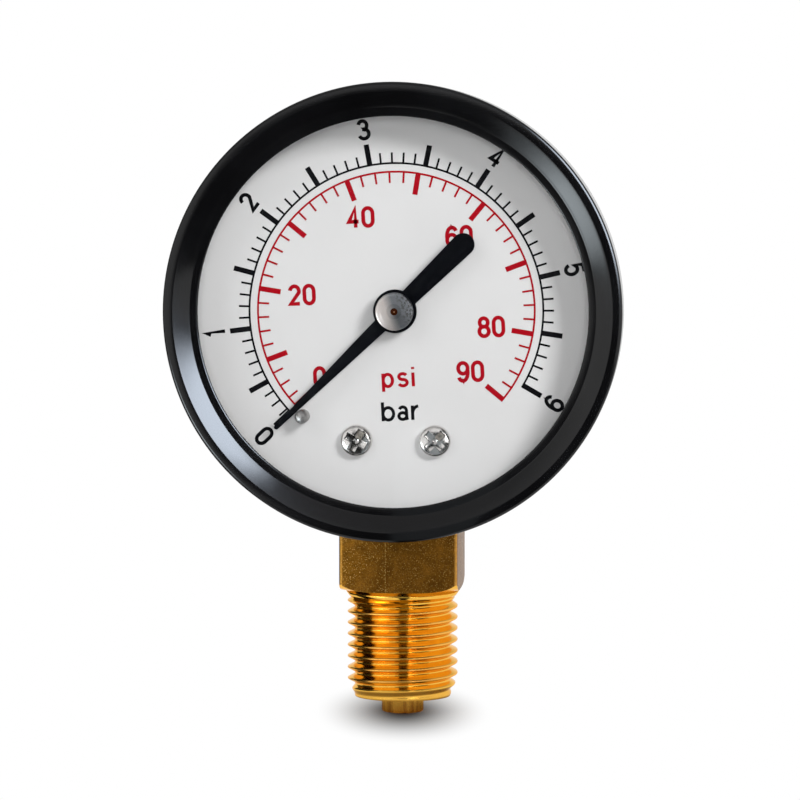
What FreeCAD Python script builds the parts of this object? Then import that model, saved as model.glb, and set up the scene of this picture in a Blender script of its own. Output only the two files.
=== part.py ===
"""Bourdon-tube pressure gauge with a 50 mm dial and a G 1/4 B connection at the bottom.

Millimetres. The origin is on the stem's axis, in the plane of the connection's seal face.
+Z points up the stem, -Y is the way the dial faces, and +X is to its reader's right.
Places on the dial and in the movement are given as (x, z) from the dial's centre, and
angles there run anticlockwise from +X, as the reader sees them.
"""
import FreeCAD
import Part

import math
import os

from FreeCAD import Vector

# ---------------------------------------------------------------- driving dimensions

# Connection: G 1/4 B parallel thread, 13.157 mm over its crests, with a centring spigot.
THREAD_RADIUS = 6.58
THREAD_LENGTH = 13.0
THREAD_END_CHAMFER = 0.85
SPIGOT_RADIUS = 2.5
SPIGOT_LENGTH = 1.9
INLET_RADIUS = 1.25
INLET_DEPTH = 17.9
PASSAGE_RADIUS = 0.8
SPANNER_SQUARE = 14.0
SQUARE_EDGE = 0.45
SQUARE_TURNED_ANGLE = 28.0
SQUARE_INSIDE_CASE = 2.6

# Where the dial stands from the seal face and the stem's axis.
DIAL_HEIGHT = 46.5
DIAL_FORWARD = 9.8
BEZEL_FORWARD = 16.3
BACK_BEHIND = 10.0

# Case, drawn from sheet steel, and the ring that closes it.
CASE_RADIUS = 25.85
CASE_WALL = 0.7
CASE_BACK_BEVEL = 1.9
BEZEL_WALL = 0.65
BEZEL_FIT = 0.1
BEZEL_WIDTH = 3.95
BEZEL_SKIRT = 6.4
BEZEL_BEVEL = 0.6
BEZEL_DISH = 1.1
BEZEL_LIP = 0.95
WINDOW_THICKNESS = 1.4
GASKET_THICKNESS = 0.7
GASKET_WIDTH = 1.9
SEAT_PLAY = 0.25

# Dial, its screws and the stop pin.
DIAL_EDGE_PLAY = 0.75
DIAL_THICKNESS = 0.4
DIAL_CENTRE_HOLE = 2.0
DIAL_SCREW_INSET = 2.4
DIAL_SCREW_BELOW_SHELF = 2.67
DIAL_SCREW_RADIUS = 1.0
DIAL_SCREW_LENGTH = 4.6
DIAL_SCREW_HEAD = 1.85
DIAL_SCREW_HEAD_HEIGHT = 1.2
STOP_PIN_RADIUS = 0.8
STOP_PIN_BEVEL = 0.35
STOP_PIN_HEIGHT = 2.4
STOP_PIN_BEFORE_TIP = 3.2

# Pointer, at rest on its stop pin below the first mark.
POINTER_REST_ANGLE = 224.4
POINTER_GAP = 1.45
POINTER_THICKNESS = 0.4
POINTER_TIP_FROM_EDGE = 4.7
POINTER_TIP_RADIUS = 0.27
POINTER_BLADE_ROOT = 0.95
POINTER_TAIL_REACH = 12.0
POINTER_TAIL_RADIUS = 1.33
POINTER_BOSS_RADIUS = 2.54
HUB_CAP_RADIUS = 2.2
HUB_CAP_HEIGHT = 1.15
HUB_CAP_BEVEL = 0.3
HUB_NECK_RADIUS = 1.1
HUB_NECK_BEHIND = 0.6

# Head of the socket inside the case, with a rib for the dial and one for the case's back.
HEAD_WALL = 0.5
DIAL_RIB_HEIGHT = 4.0
BACK_RIB_HEIGHT = 5.2
CASE_SCREW_INSET = 2.7
CASE_SCREW_BELOW_SHELF = 3.87
CASE_SCREW_RADIUS = 1.5
CASE_SCREW_LENGTH = 5.0
CASE_SCREW_HEAD = 2.8
CASE_SCREW_HEAD_HEIGHT = 1.7
SCREW_HOLE_PLAY = 0.15

# Bourdon tube: a flattened tube bent to an arc about the dial's axis, and its closed end.
TUBE_BEND_RADIUS = 16.0
TUBE_DEPTH = 8.0
TUBE_THICKNESS = 2.6
TUBE_BEVEL = 0.8
TUBE_WALL = 0.35
TUBE_SEAT = 2.3
TUBE_END_ANGLE = -35.0
TIP_WALL = 0.6
TIP_SEAT = 1.5
TIP_CAP = 2.2
TIP_LUG_THICKNESS = 0.8

# Movement: two plates on pillars, with the sector, the pinion and the hairspring between.
MOVEMENT_BEHIND_DIAL = 0.8
PLATE_THICKNESS = 1.0
PLATE_GAP = 5.0
PLATE_MARGIN = 0.9
PILLAR_FLATS = 2.6
PILLAR_RIVET_RADIUS = 0.7
LOWER_PILLAR = (-6.2, -7.0)
UPPER_PILLAR = (5.6, 5.0)
FOOT_HEIGHT = 3.1
FOOT_SCREW_INSET = 2.0
FOOT_SCREW_RADIUS = 0.8
FOOT_SCREW_LENGTH = 3.6
FOOT_SCREW_HEAD = 1.4
FOOT_SCREW_HEAD_HEIGHT = 0.9

# Toothing: a 10-leaf pinion and a sector cut as part of an 80-tooth wheel.
MODULE = 0.2
PRESSURE_ANGLE = 20.0
PINION_TEETH = 10
WHEEL_TEETH = 80
PROFILE_SHIFT = 0.3
TOOTH_ADDENDUM = 0.9
TOOTH_DEDENDUM = 1.25
TOOTH_PLAY = 0.03
SECTOR_FIRST_TOOTH = -1
SECTOR_LAST_TOOTH = 9
SECTOR_THICKNESS = 0.8
SECTOR_RIM = 1.3
SECTOR_SPOKE = 1.5
SECTOR_HUB_RADIUS = 1.9
PINION_LENGTH = 2.0
PINION_FORWARD = 0.4

# Arbors and their pivots.
PIVOT_PLAY = 0.03
END_SHAKE = 0.1
PINION_BODY_RADIUS = 0.7
PINION_JOURNAL_RADIUS = 0.42
PINION_PIVOT_RADIUS = 0.35
SECTOR_BODY_RADIUS = 0.8
SECTOR_PIVOT_RADIUS = 0.4

# Link between the tube's closed end and the sector's tail.
TAIL_REACH = 3.1
TAIL_ANGLE = -55.6
TAIL_SLOT = 1.2
TAIL_END_RADIUS = 1.15
LINK_TIP_END = (9.7, -4.5)
LINK_THICKNESS = 0.5
LINK_EYE_WALL = 0.6
LINK_PLAY = 0.08
LINK_TIP_EYE_PLAY = 0.04
LINK_TAIL_EYE_PLAY = 0.12
LINK_PIN_RADIUS = 0.45
LINK_PIN_HEAD = 0.85
LINK_PIN_HEAD_HEIGHT = 0.3

# Hairspring, its collet on the pinion's arbor and its stud on the back plate.
HAIRSPRING_HALF_TURNS = 6
HAIRSPRING_STRIP = 0.1
HAIRSPRING_HEIGHT = 0.6
HAIRSPRING_INNER = 1.2
HAIRSPRING_OUTER = 4.2
HAIRSPRING_LIFT = 0.7
COLLET_RADIUS = 1.45
COLLET_HEIGHT = 1.0
STUD_RADIUS = 0.6
STUD_ANGLE = 150.0

# ---------------------------------------------------------------- derived places and sizes

BEZEL_RADIUS = CASE_RADIUS + BEZEL_FIT + BEZEL_WALL
WINDOW_OPENING_RADIUS = BEZEL_RADIUS - BEZEL_WIDTH
BEZEL_CREST_Y = -BEZEL_FORWARD
BEZEL_LIP_Y = BEZEL_CREST_Y + BEZEL_DISH
WINDOW_Y = BEZEL_LIP_Y + BEZEL_WALL
WINDOW_RADIUS = CASE_RADIUS + BEZEL_FIT - SEAT_PLAY
GASKET_Y = WINDOW_Y + WINDOW_THICKNESS
CASE_RIM_Y = GASKET_Y + GASKET_THICKNESS
CASE_INNER_BACK_Y = BACK_BEHIND - CASE_WALL

DIAL_RADIUS = CASE_RADIUS - CASE_WALL - DIAL_EDGE_PLAY
DIAL_Y = -DIAL_FORWARD
DIAL_BACK_Y = DIAL_Y + DIAL_THICKNESS
POINTER_BACK_Y = DIAL_Y - POINTER_GAP
POINTER_Y = POINTER_BACK_Y - POINTER_THICKNESS
HUB_Y = POINTER_Y - HUB_CAP_HEIGHT
POINTER_TIP_REACH = DIAL_RADIUS - POINTER_TIP_FROM_EDGE
STOP_PIN_DISTANCE = POINTER_TIP_REACH - STOP_PIN_BEFORE_TIP

FRONT_PLATE_Y = DIAL_BACK_Y + MOVEMENT_BEHIND_DIAL
BETWEEN_FRONT_Y = FRONT_PLATE_Y + PLATE_THICKNESS
BETWEEN_BACK_Y = BETWEEN_FRONT_Y + PLATE_GAP
SHELF_Y = BETWEEN_BACK_Y + PLATE_THICKNESS
HEAD_HALF_DEPTH = TUBE_DEPTH / 2 + HEAD_WALL

PINION_Y = BETWEEN_FRONT_Y + PINION_FORWARD
SECTOR_Y = PINION_Y + (PINION_LENGTH - SECTOR_THICKNESS) / 2
LINK_Y = SECTOR_Y + SECTOR_THICKNESS + LINK_PLAY
TIP_LUG_Y = LINK_Y + LINK_THICKNESS + LINK_PLAY
COLLET_BACK_Y = BETWEEN_BACK_Y - HAIRSPRING_LIFT
HAIRSPRING_Y = COLLET_BACK_Y - (COLLET_HEIGHT + HAIRSPRING_HEIGHT) / 2

DIAL_CENTRE = (0.0, 0.0)
GEAR_DISTANCE = MODULE * (PINION_TEETH + WHEEL_TEETH) / 2
SECTOR_PIVOT = (0.0, -GEAR_DISTANCE)
HEAD_TOP = -GEAR_DISTANCE - PIVOT_PLAY - SECTOR_PIVOT_RADIUS
SHELF_FLOOR = HEAD_TOP - FOOT_HEIGHT
FOOT_SCREW_Z = HEAD_TOP - FOOT_HEIGHT / 2
EYE_RADIUS = LINK_PIN_RADIUS + LINK_TAIL_EYE_PLAY + LINK_EYE_WALL


def polar(centre, radius, angle):
    """Place at a radius and an angle in degrees from a centre, seen from the front."""
    turn = math.radians(angle)
    return (centre[0] + radius * math.cos(turn), centre[1] + radius * math.sin(turn))


LINK_TAIL_END = polar(SECTOR_PIVOT, TAIL_REACH, TAIL_ANGLE)
STUD_PLACE = polar(DIAL_CENTRE, HAIRSPRING_OUTER, STUD_ANGLE)
TUBE_START_ANGLE = 180 + math.degrees(
    math.acos((SPANNER_SQUARE / 2 - TUBE_SEAT) / TUBE_BEND_RADIUS))


def screw_pair(inset, z):
    """Two screw places, each an inset from a side of the spanner square."""
    reach = SPANNER_SQUARE / 2 - inset
    return [(-reach, z), (reach, z)]


DIAL_SCREW_Z = SHELF_FLOOR - DIAL_SCREW_BELOW_SHELF
CASE_SCREW_Z = SHELF_FLOOR - CASE_SCREW_BELOW_SHELF
DIAL_SCREW_PLACES = screw_pair(DIAL_SCREW_INSET, DIAL_SCREW_Z)
CASE_SCREW_PLACES = screw_pair(CASE_SCREW_INSET, CASE_SCREW_Z)
FOOT_SCREW_PLACES = screw_pair(FOOT_SCREW_INSET, FOOT_SCREW_Z)
PILLAR_PLACES = [LOWER_PILLAR, UPPER_PILLAR]

# ---------------------------------------------------------------- shared forms

DIAL_AXIS = Vector(0, 1, 0)
STEM_AXIS = Vector(0, 0, 1)


def on_dial(place, y):
    """Point at a place on the dial's plane and a depth y from the stem's axis."""
    return Vector(place[0], y, DIAL_HEIGHT + place[1])


def joined(body, *others):
    """One solid from several that overlap or meet, without seams left on flat faces."""
    return body.multiFuse(list(others)).removeSplitter()


def outlined(corners, put):
    """Flat face inside corners (u, v) or (u, v, bevel), placed in space by put."""
    points = []
    for index, (u, v, *bevel) in enumerate(corners):
        here = Vector(u, v, 0)
        if not bevel:
            points.append(here)
            continue
        for beside in (corners[index - 1], corners[(index + 1) % len(corners)]):
            side = (Vector(beside[0], beside[1], 0) - here).normalize()
            points.append(here + side * bevel[0])
    placed = [put(point.x, point.y) for point in points]
    return Part.Face(Part.makePolygon(placed + placed[:1]))


def parallel_bevel(bevel, grow):
    """Bevel of a square corner after its outline has grown all round."""
    return bevel + grow * (2 - math.sqrt(2))


def turned(corners, place=DIAL_CENTRE):
    """Solid turned about a line along Y through a place, from corners (radius, y, bevel)."""
    section = outlined(corners, lambda r, y: on_dial((place[0] + r, place[1]), y))
    return section.revolve(on_dial(place, 0), DIAL_AXIS, 360)


def turned_stem(corners):
    """Solid turned about the stem's axis from corners (radius, z, bevel)."""
    return outlined(corners, lambda r, z: Vector(r, 0, z)).revolve(Vector(), STEM_AXIS, 360)


def rod(place, radius, front_y, back_y):
    """Round rod along Y between two depths."""
    return Part.makeCylinder(radius, back_y - front_y, on_dial(place, front_y), DIAL_AXIS)


def hexagon(place, across_flats, front_y, back_y):
    """Hexagonal bar along Y between two depths."""
    corner = across_flats / math.sqrt(3)
    points = [on_dial(polar(place, corner, 60 * index), front_y) for index in range(6)]
    return Part.Face(Part.makePolygon(points + points[:1])).extrude(DIAL_AXIS * (back_y - front_y))


def block(low_x, high_x, front_y, back_y, low_z, high_z):
    """Box between limits, with z measured from the seal face."""
    return Part.makeBox(high_x - low_x, back_y - front_y, high_z - low_z,
                        Vector(low_x, front_y, low_z))


def belt(discs, front_y, thickness):
    """Flat plate bounded by a belt drawn round discs (place, radius), listed anticlockwise."""
    spans = []
    for index, (start, start_radius) in enumerate(discs):
        end, end_radius = discs[(index + 1) % len(discs)]
        run = Vector(end[0] - start[0], end[1] - start[1], 0)
        heading = math.degrees(math.atan2(run.y, run.x))
        lean = math.degrees(math.asin((start_radius - end_radius) / run.Length))
        outward = heading - 90 + lean
        spans.append((polar(start, start_radius, outward), polar(end, end_radius, outward),
                      outward))
    edges = []
    for index, (start, end, outward) in enumerate(spans):
        edges.append(Part.LineSegment(on_dial(start, front_y), on_dial(end, front_y)).toShape())
        following = spans[(index + 1) % len(spans)]
        centre, radius = discs[(index + 1) % len(discs)]
        sweep = (following[2] - outward) % 360
        crown = polar(centre, radius, outward + sweep / 2)
        edges.append(Part.Arc(on_dial(end, front_y), on_dial(crown, front_y),
                              on_dial(following[0], front_y)).toShape())
    return Part.Face(Part.Wire(edges)).extrude(DIAL_AXIS * thickness)


def screw(place, seat_y, facing, shank, length, head, head_height):
    """Screw whose head stands from its seat towards facing (-1 front, +1 back)."""
    top_y = seat_y + facing * head_height
    end_y = seat_y - facing * length
    return turned([(0, top_y), (head, top_y), (head, seat_y), (shank, seat_y), (shank, end_y),
                   (0, end_y)], place)


def tube_section(grow):
    """Flattened tube section, larger all round by grow, at +X on the tube's bend."""
    half_depth = TUBE_DEPTH / 2 + grow
    half_thick = TUBE_THICKNESS / 2 + grow
    bevel = parallel_bevel(TUBE_BEVEL, grow)
    corners = [
        (TUBE_BEND_RADIUS + across * half_thick, along * half_depth, bevel)
        for across, along in ((-1, -1), (1, -1), (1, 1), (-1, 1))]
    return outlined(corners, lambda r, y: on_dial((r, 0), y))


def bent(section, start_angle, sweep):
    """Section swept about the dial's axis from an angle, anticlockwise as the reader sees it."""
    solid = section.revolve(on_dial(DIAL_CENTRE, 0), DIAL_AXIS, -sweep)
    solid.rotate(on_dial(DIAL_CENTRE, 0), DIAL_AXIS, -start_angle)
    return solid


def arc_angle(length):
    """Angle in degrees that a length takes up along the tube's bend."""
    return math.degrees(length / TUBE_BEND_RADIUS)


def involute(angle):
    return math.tan(angle) - angle


def gear_radii(teeth, shift):
    """Pitch, tip and root radii of a gear."""
    pitch = MODULE * teeth / 2
    tip = pitch + MODULE * (TOOTH_ADDENDUM + shift)
    root = pitch - MODULE * (TOOTH_DEDENDUM - shift)
    return pitch, tip, root


def gear_tooth(centre, teeth, shift, angle, front_y, width):
    """One involute tooth on a blank, its foot let into the blank by half a module."""
    pitch, tip, root = gear_radii(teeth, shift)
    pressure = math.radians(PRESSURE_ANGLE)
    base = pitch * math.cos(pressure)
    arc_thickness = MODULE * (math.pi / 2 + 2 * shift * math.tan(pressure)) - TOOTH_PLAY
    foot = root - MODULE / 2
    start = max(base, root)

    def flank(radius, side):
        slope = math.acos(base / max(radius, base))
        half = arc_thickness / (2 * pitch) + involute(pressure) - involute(slope)
        return on_dial(polar(centre, radius, angle + side * math.degrees(half)), front_y)

    def flank_arc(side):
        return [flank(radius, side) for radius in (start, (start + tip) / 2, tip)]

    def foot_point(side):
        half = arc_thickness / (2 * pitch) + involute(pressure)
        return on_dial(polar(centre, foot, angle + side * math.degrees(half)), front_y)

    right, left = flank_arc(-1), flank_arc(1)
    crown = on_dial(polar(centre, tip, angle), front_y)
    edges = [
        Part.LineSegment(foot_point(-1), right[0]).toShape(),
        Part.Arc(*right).toShape(),
        Part.Arc(right[2], crown, left[2]).toShape(),
        Part.Arc(*reversed(left)).toShape(),
        Part.LineSegment(left[0], foot_point(1)).toShape(),
        Part.LineSegment(foot_point(1), foot_point(-1)).toShape()]
    return Part.Face(Part.Wire(edges)).extrude(DIAL_AXIS * width)


# ---------------------------------------------------------------- case, ring and window

def case():
    """Drawn steel cup with a square opening for the stem and two holes in its back."""
    inner_radius = CASE_RADIUS - CASE_WALL
    cup = turned([
        (CASE_RADIUS, CASE_RIM_Y), (CASE_RADIUS, BACK_BEHIND, CASE_BACK_BEVEL), (0, BACK_BEHIND),
        (0, CASE_INNER_BACK_Y),
        (inner_radius, CASE_INNER_BACK_Y, parallel_bevel(CASE_BACK_BEVEL, -CASE_WALL)),
        (inner_radius, CASE_RIM_Y)])
    reach = SPANNER_SQUARE / 2 + SEAT_PLAY
    opening = block(-reach, reach, -reach, reach, DIAL_HEIGHT - 1.1 * CASE_RADIUS, DIAL_HEIGHT)
    holes = [rod(place, CASE_SCREW_RADIUS + SCREW_HOLE_PLAY, 0, 2 * BACK_BEHIND)
             for place in CASE_SCREW_PLACES]
    return cup.cut([opening] + holes)


def bezel_ring():
    """Pressed ring: outer skirt, bevelled crest, dished face and a flat lip on the window."""
    inner_radius = CASE_RADIUS + BEZEL_FIT
    skirt_end = BEZEL_CREST_Y + BEZEL_SKIRT
    return turned([
        (WINDOW_OPENING_RADIUS, BEZEL_LIP_Y), (WINDOW_OPENING_RADIUS + BEZEL_LIP, BEZEL_LIP_Y),
        (BEZEL_RADIUS - BEZEL_BEVEL, BEZEL_CREST_Y), (BEZEL_RADIUS, BEZEL_CREST_Y + BEZEL_BEVEL),
        (BEZEL_RADIUS, skirt_end), (inner_radius, skirt_end), (inner_radius, WINDOW_Y),
        (WINDOW_OPENING_RADIUS, WINDOW_Y)])


def window():
    """Flat disc behind the ring's lip."""
    return rod(DIAL_CENTRE, WINDOW_RADIUS, WINDOW_Y, GASKET_Y)


def window_gasket():
    """Flat rubber ring between the window and the case's rim."""
    inner = WINDOW_RADIUS - GASKET_WIDTH
    return turned([(inner, GASKET_Y), (WINDOW_RADIUS, GASKET_Y),
                   (WINDOW_RADIUS, CASE_RIM_Y), (inner, CASE_RIM_Y)])


def case_screws():
    """Two screws that hold the case's back to the posts of the socket."""
    return [screw(place, BACK_BEHIND, 1, CASE_SCREW_RADIUS, CASE_SCREW_LENGTH,
                      CASE_SCREW_HEAD, CASE_SCREW_HEAD_HEIGHT) for place in CASE_SCREW_PLACES]


# ---------------------------------------------------------------- socket

def socket():
    """Forged socket: spigot, threaded stem, spanner square and head, in one piece."""
    half = SPANNER_SQUARE / 2
    case_inside = DIAL_HEIGHT - CASE_RADIUS + CASE_WALL
    square_top = case_inside + SQUARE_INSIDE_CASE
    head_top = DIAL_HEIGHT + HEAD_TOP

    stem = turned_stem([
        (0, -SPIGOT_LENGTH), (SPIGOT_RADIUS, -SPIGOT_LENGTH), (SPIGOT_RADIUS, 0),
        (THREAD_RADIUS - THREAD_END_CHAMFER, 0), (THREAD_RADIUS, THREAD_END_CHAMFER),
        (THREAD_RADIUS, THREAD_LENGTH), (0, THREAD_LENGTH)])

    square = block(-half, half, -half, half, THREAD_LENGTH, square_top)
    upright = [edge for edge in square.Edges if abs(edge.tangentAt(edge.FirstParameter).z) > 0.9]
    square = square.makeChamfer(SQUARE_EDGE, upright)
    across = half * math.sqrt(2)
    rise = (across - half) * math.tan(math.radians(SQUARE_TURNED_ANGLE))
    turned_off = turned_stem([
        (0, THREAD_LENGTH), (half, THREAD_LENGTH), (across, THREAD_LENGTH + rise),
        (across, square_top), (0, square_top)])
    square = square.common(turned_off)

    head = block(-half, half, -HEAD_HALF_DEPTH, HEAD_HALF_DEPTH, square_top, head_top)
    shelf = block(-half, half, -HEAD_HALF_DEPTH, SHELF_Y, DIAL_HEIGHT + SHELF_FLOOR, head_top)
    head = head.cut(shelf)
    dial_z, back_z = DIAL_HEIGHT + DIAL_SCREW_Z, DIAL_HEIGHT + CASE_SCREW_Z
    dial_rib = block(-half, half, DIAL_BACK_Y, 0,
                     dial_z - DIAL_RIB_HEIGHT / 2, dial_z + DIAL_RIB_HEIGHT / 2)
    back_rib = block(-half, half, 0, CASE_INNER_BACK_Y,
                     back_z - BACK_RIB_HEIGHT / 2, back_z + BACK_RIB_HEIGHT / 2)
    body = joined(stem, square, head, dial_rib, back_rib)

    passage_z = DIAL_HEIGHT + polar(DIAL_CENTRE, TUBE_BEND_RADIUS, TUBE_START_ANGLE)[1]
    inlet = turned_stem([
        (0, -SPIGOT_LENGTH), (INLET_RADIUS, -SPIGOT_LENGTH),
        (INLET_RADIUS, INLET_DEPTH - SPIGOT_LENGTH),
        (PASSAGE_RADIUS, INLET_DEPTH - SPIGOT_LENGTH),
        (PASSAGE_RADIUS, passage_z + PASSAGE_RADIUS), (0, passage_z + PASSAGE_RADIUS)])
    crossing = Part.makeCylinder(PASSAGE_RADIUS, half - TUBE_SEAT / 2,
                                 Vector(0, 0, passage_z), Vector(-1, 0, 0))
    tube_pocket = bent(tube_section(0), TUBE_START_ANGLE, -arc_angle(4 * TUBE_SEAT))
    dial_threads = [rod(place, DIAL_SCREW_RADIUS, DIAL_BACK_Y, DIAL_Y + DIAL_SCREW_LENGTH)
                    for place in DIAL_SCREW_PLACES]
    case_threads = [rod(place, CASE_SCREW_RADIUS, BACK_BEHIND - CASE_SCREW_LENGTH,
                        CASE_INNER_BACK_Y) for place in CASE_SCREW_PLACES]
    foot_threads = [rod(place, FOOT_SCREW_RADIUS, SHELF_Y, BETWEEN_BACK_Y + FOOT_SCREW_LENGTH)
                    for place in FOOT_SCREW_PLACES]
    return body.cut([inlet, crossing, tube_pocket, *dial_threads, *case_threads, *foot_threads])


# ---------------------------------------------------------------- dial and pointer

def stop_pin_place():
    """Where the stop pin stands, so that the pointer's lower edge rests against it."""
    taper = (POINTER_BLADE_ROOT - POINTER_TIP_RADIUS) / (POINTER_TIP_REACH - POINTER_TIP_RADIUS)
    lean = math.asin(taper)
    off = (POINTER_BLADE_ROOT + STOP_PIN_RADIUS + PIVOT_PLAY - STOP_PIN_DISTANCE * taper)
    off = off / math.cos(lean)
    turn = math.degrees(math.asin(off / STOP_PIN_DISTANCE))
    return polar(DIAL_CENTRE, STOP_PIN_DISTANCE, POINTER_REST_ANGLE + turn)


def dial_plate():
    """Painted sheet dial with holes for the arbor, its two screws and the stop pin."""
    plate = rod(DIAL_CENTRE, DIAL_RADIUS, DIAL_Y, DIAL_BACK_Y)
    holes = [rod(place, DIAL_SCREW_RADIUS + SCREW_HOLE_PLAY, DIAL_Y, DIAL_BACK_Y)
             for place in DIAL_SCREW_PLACES]
    holes.append(rod(DIAL_CENTRE, DIAL_CENTRE_HOLE, DIAL_Y, DIAL_BACK_Y))
    holes.append(rod(stop_pin_place(), STOP_PIN_RADIUS, DIAL_Y, DIAL_BACK_Y))
    return plate.cut(holes)


def dial_screws():
    """Two screws that hold the dial to the posts of the socket."""
    return [screw(place, DIAL_Y, -1, DIAL_SCREW_RADIUS, DIAL_SCREW_LENGTH,
                      DIAL_SCREW_HEAD, DIAL_SCREW_HEAD_HEIGHT) for place in DIAL_SCREW_PLACES]


def stop_pin():
    """Pin with a bevelled top, pressed into the dial."""
    return turned([
        (0, DIAL_Y - STOP_PIN_HEIGHT), (STOP_PIN_RADIUS, DIAL_Y - STOP_PIN_HEIGHT, STOP_PIN_BEVEL),
        (STOP_PIN_RADIUS, DIAL_BACK_Y), (0, DIAL_BACK_Y)], stop_pin_place())


def pointer_blade():
    """Flat pointer: a tapered blade, a round boss and a tail that widens to a round end."""
    tip = polar(DIAL_CENTRE, POINTER_TIP_REACH - POINTER_TIP_RADIUS, POINTER_REST_ANGLE)
    tail = polar(DIAL_CENTRE, POINTER_TAIL_REACH - POINTER_TAIL_RADIUS,
                 POINTER_REST_ANGLE + 180)
    blade = belt([(DIAL_CENTRE, POINTER_BLADE_ROOT), (tip, POINTER_TIP_RADIUS)],
                 POINTER_Y, POINTER_THICKNESS)
    counterweight = belt([(DIAL_CENTRE, POINTER_BLADE_ROOT), (tail, POINTER_TAIL_RADIUS)],
                         POINTER_Y, POINTER_THICKNESS)
    boss = rod(DIAL_CENTRE, POINTER_BOSS_RADIUS, POINTER_Y, POINTER_BACK_Y)
    neck_hole = rod(DIAL_CENTRE, HUB_NECK_RADIUS, POINTER_Y, POINTER_BACK_Y)
    return joined(blade, counterweight, boss).cut(neck_hole)


def pointer_hub():
    """Turned bush, pressed through the blade and pushed onto the arbor's nose."""
    neck_end = POINTER_BACK_Y + HUB_NECK_BEHIND
    return turned([
        (PINION_JOURNAL_RADIUS, HUB_Y), (HUB_CAP_RADIUS, HUB_Y, HUB_CAP_BEVEL),
        (HUB_CAP_RADIUS, POINTER_Y), (HUB_NECK_RADIUS, POINTER_Y), (HUB_NECK_RADIUS, neck_end),
        (PINION_JOURNAL_RADIUS, neck_end)])


# ---------------------------------------------------------------- Bourdon tube and its end

def bourdon_tube():
    """Flattened tube bent nearly full circle, open into the socket at its fixed end."""
    sweep = TUBE_END_ANGLE - TUBE_START_ANGLE
    outside = bent(tube_section(0), TUBE_START_ANGLE, sweep)
    inside = bent(tube_section(-TUBE_WALL), TUBE_START_ANGLE, sweep)
    return outside.cut(inside)


def tube_tip():
    """Cap soldered over the tube's free end, with a lug that carries the link's pin."""
    seat, cap = arc_angle(TIP_SEAT), arc_angle(TIP_CAP)
    cap_body = bent(tube_section(TIP_WALL), TUBE_END_ANGLE + seat, -(seat + cap))
    inner = TUBE_BEND_RADIUS - TUBE_THICKNESS / 2 - TIP_WALL
    root = polar(DIAL_CENTRE, inner + EYE_RADIUS, TUBE_END_ANGLE - cap / 2)
    lug = belt([(LINK_TIP_END, EYE_RADIUS), (root, EYE_RADIUS)], TIP_LUG_Y, TIP_LUG_THICKNESS)
    pocket = bent(tube_section(0), TUBE_END_ANGLE + seat, -seat)
    pin_hole = rod(LINK_TIP_END, LINK_PIN_RADIUS, TIP_LUG_Y, TIP_LUG_Y + TIP_LUG_THICKNESS)
    return joined(cap_body, lug).cut([pocket, pin_hole])


# ---------------------------------------------------------------- movement

def back_plate():
    """Plate screwed to the socket's shelf, with the rear pivot holes."""
    foot = FOOT_HEIGHT / 2
    left_foot, right_foot = FOOT_SCREW_PLACES
    around = PILLAR_FLATS / 2 + PLATE_MARGIN
    outline = [(left_foot, foot), (right_foot, foot), (UPPER_PILLAR, around),
               (STUD_PLACE, around), (LOWER_PILLAR, around)]
    plate = belt(outline, BETWEEN_BACK_Y, PLATE_THICKNESS)
    holes = [rod(place, PILLAR_RIVET_RADIUS, BETWEEN_BACK_Y, SHELF_Y)
             for place in PILLAR_PLACES]
    holes += [rod(place, FOOT_SCREW_RADIUS + SCREW_HOLE_PLAY, BETWEEN_BACK_Y, SHELF_Y)
              for place in FOOT_SCREW_PLACES]
    holes += [
        rod(DIAL_CENTRE, PINION_PIVOT_RADIUS + PIVOT_PLAY, BETWEEN_BACK_Y, SHELF_Y),
        rod(SECTOR_PIVOT, SECTOR_PIVOT_RADIUS + PIVOT_PLAY, BETWEEN_BACK_Y, SHELF_Y)]
    return plate.cut(holes)


def front_plate():
    """Plate on the pillars, with the front pivot holes."""
    around = PILLAR_FLATS / 2 + PLATE_MARGIN
    outline = [(SECTOR_PIVOT, around), (UPPER_PILLAR, around), (LOWER_PILLAR, around)]
    plate = belt(outline, FRONT_PLATE_Y, PLATE_THICKNESS)
    holes = [rod(place, PILLAR_RIVET_RADIUS, FRONT_PLATE_Y, BETWEEN_FRONT_Y)
             for place in PILLAR_PLACES]
    holes += [
        rod(DIAL_CENTRE, PINION_JOURNAL_RADIUS + PIVOT_PLAY, FRONT_PLATE_Y, BETWEEN_FRONT_Y),
        rod(SECTOR_PIVOT, SECTOR_PIVOT_RADIUS + PIVOT_PLAY, FRONT_PLATE_Y, BETWEEN_FRONT_Y)]
    return plate.cut(holes)


def movement_pillars():
    """Two hexagonal pillars, riveted into both plates."""
    pillars = []
    for place in PILLAR_PLACES:
        body = hexagon(place, PILLAR_FLATS, BETWEEN_FRONT_Y, BETWEEN_BACK_Y)
        pillars.append(joined(body, rod(place, PILLAR_RIVET_RADIUS, FRONT_PLATE_Y, SHELF_Y)))
    return pillars


def movement_screws():
    """Two screws that hold the back plate's foot on the socket's shelf."""
    return [screw(place, BETWEEN_BACK_Y, -1, FOOT_SCREW_RADIUS, FOOT_SCREW_LENGTH,
                      FOOT_SCREW_HEAD, FOOT_SCREW_HEAD_HEIGHT) for place in FOOT_SCREW_PLACES]


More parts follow.
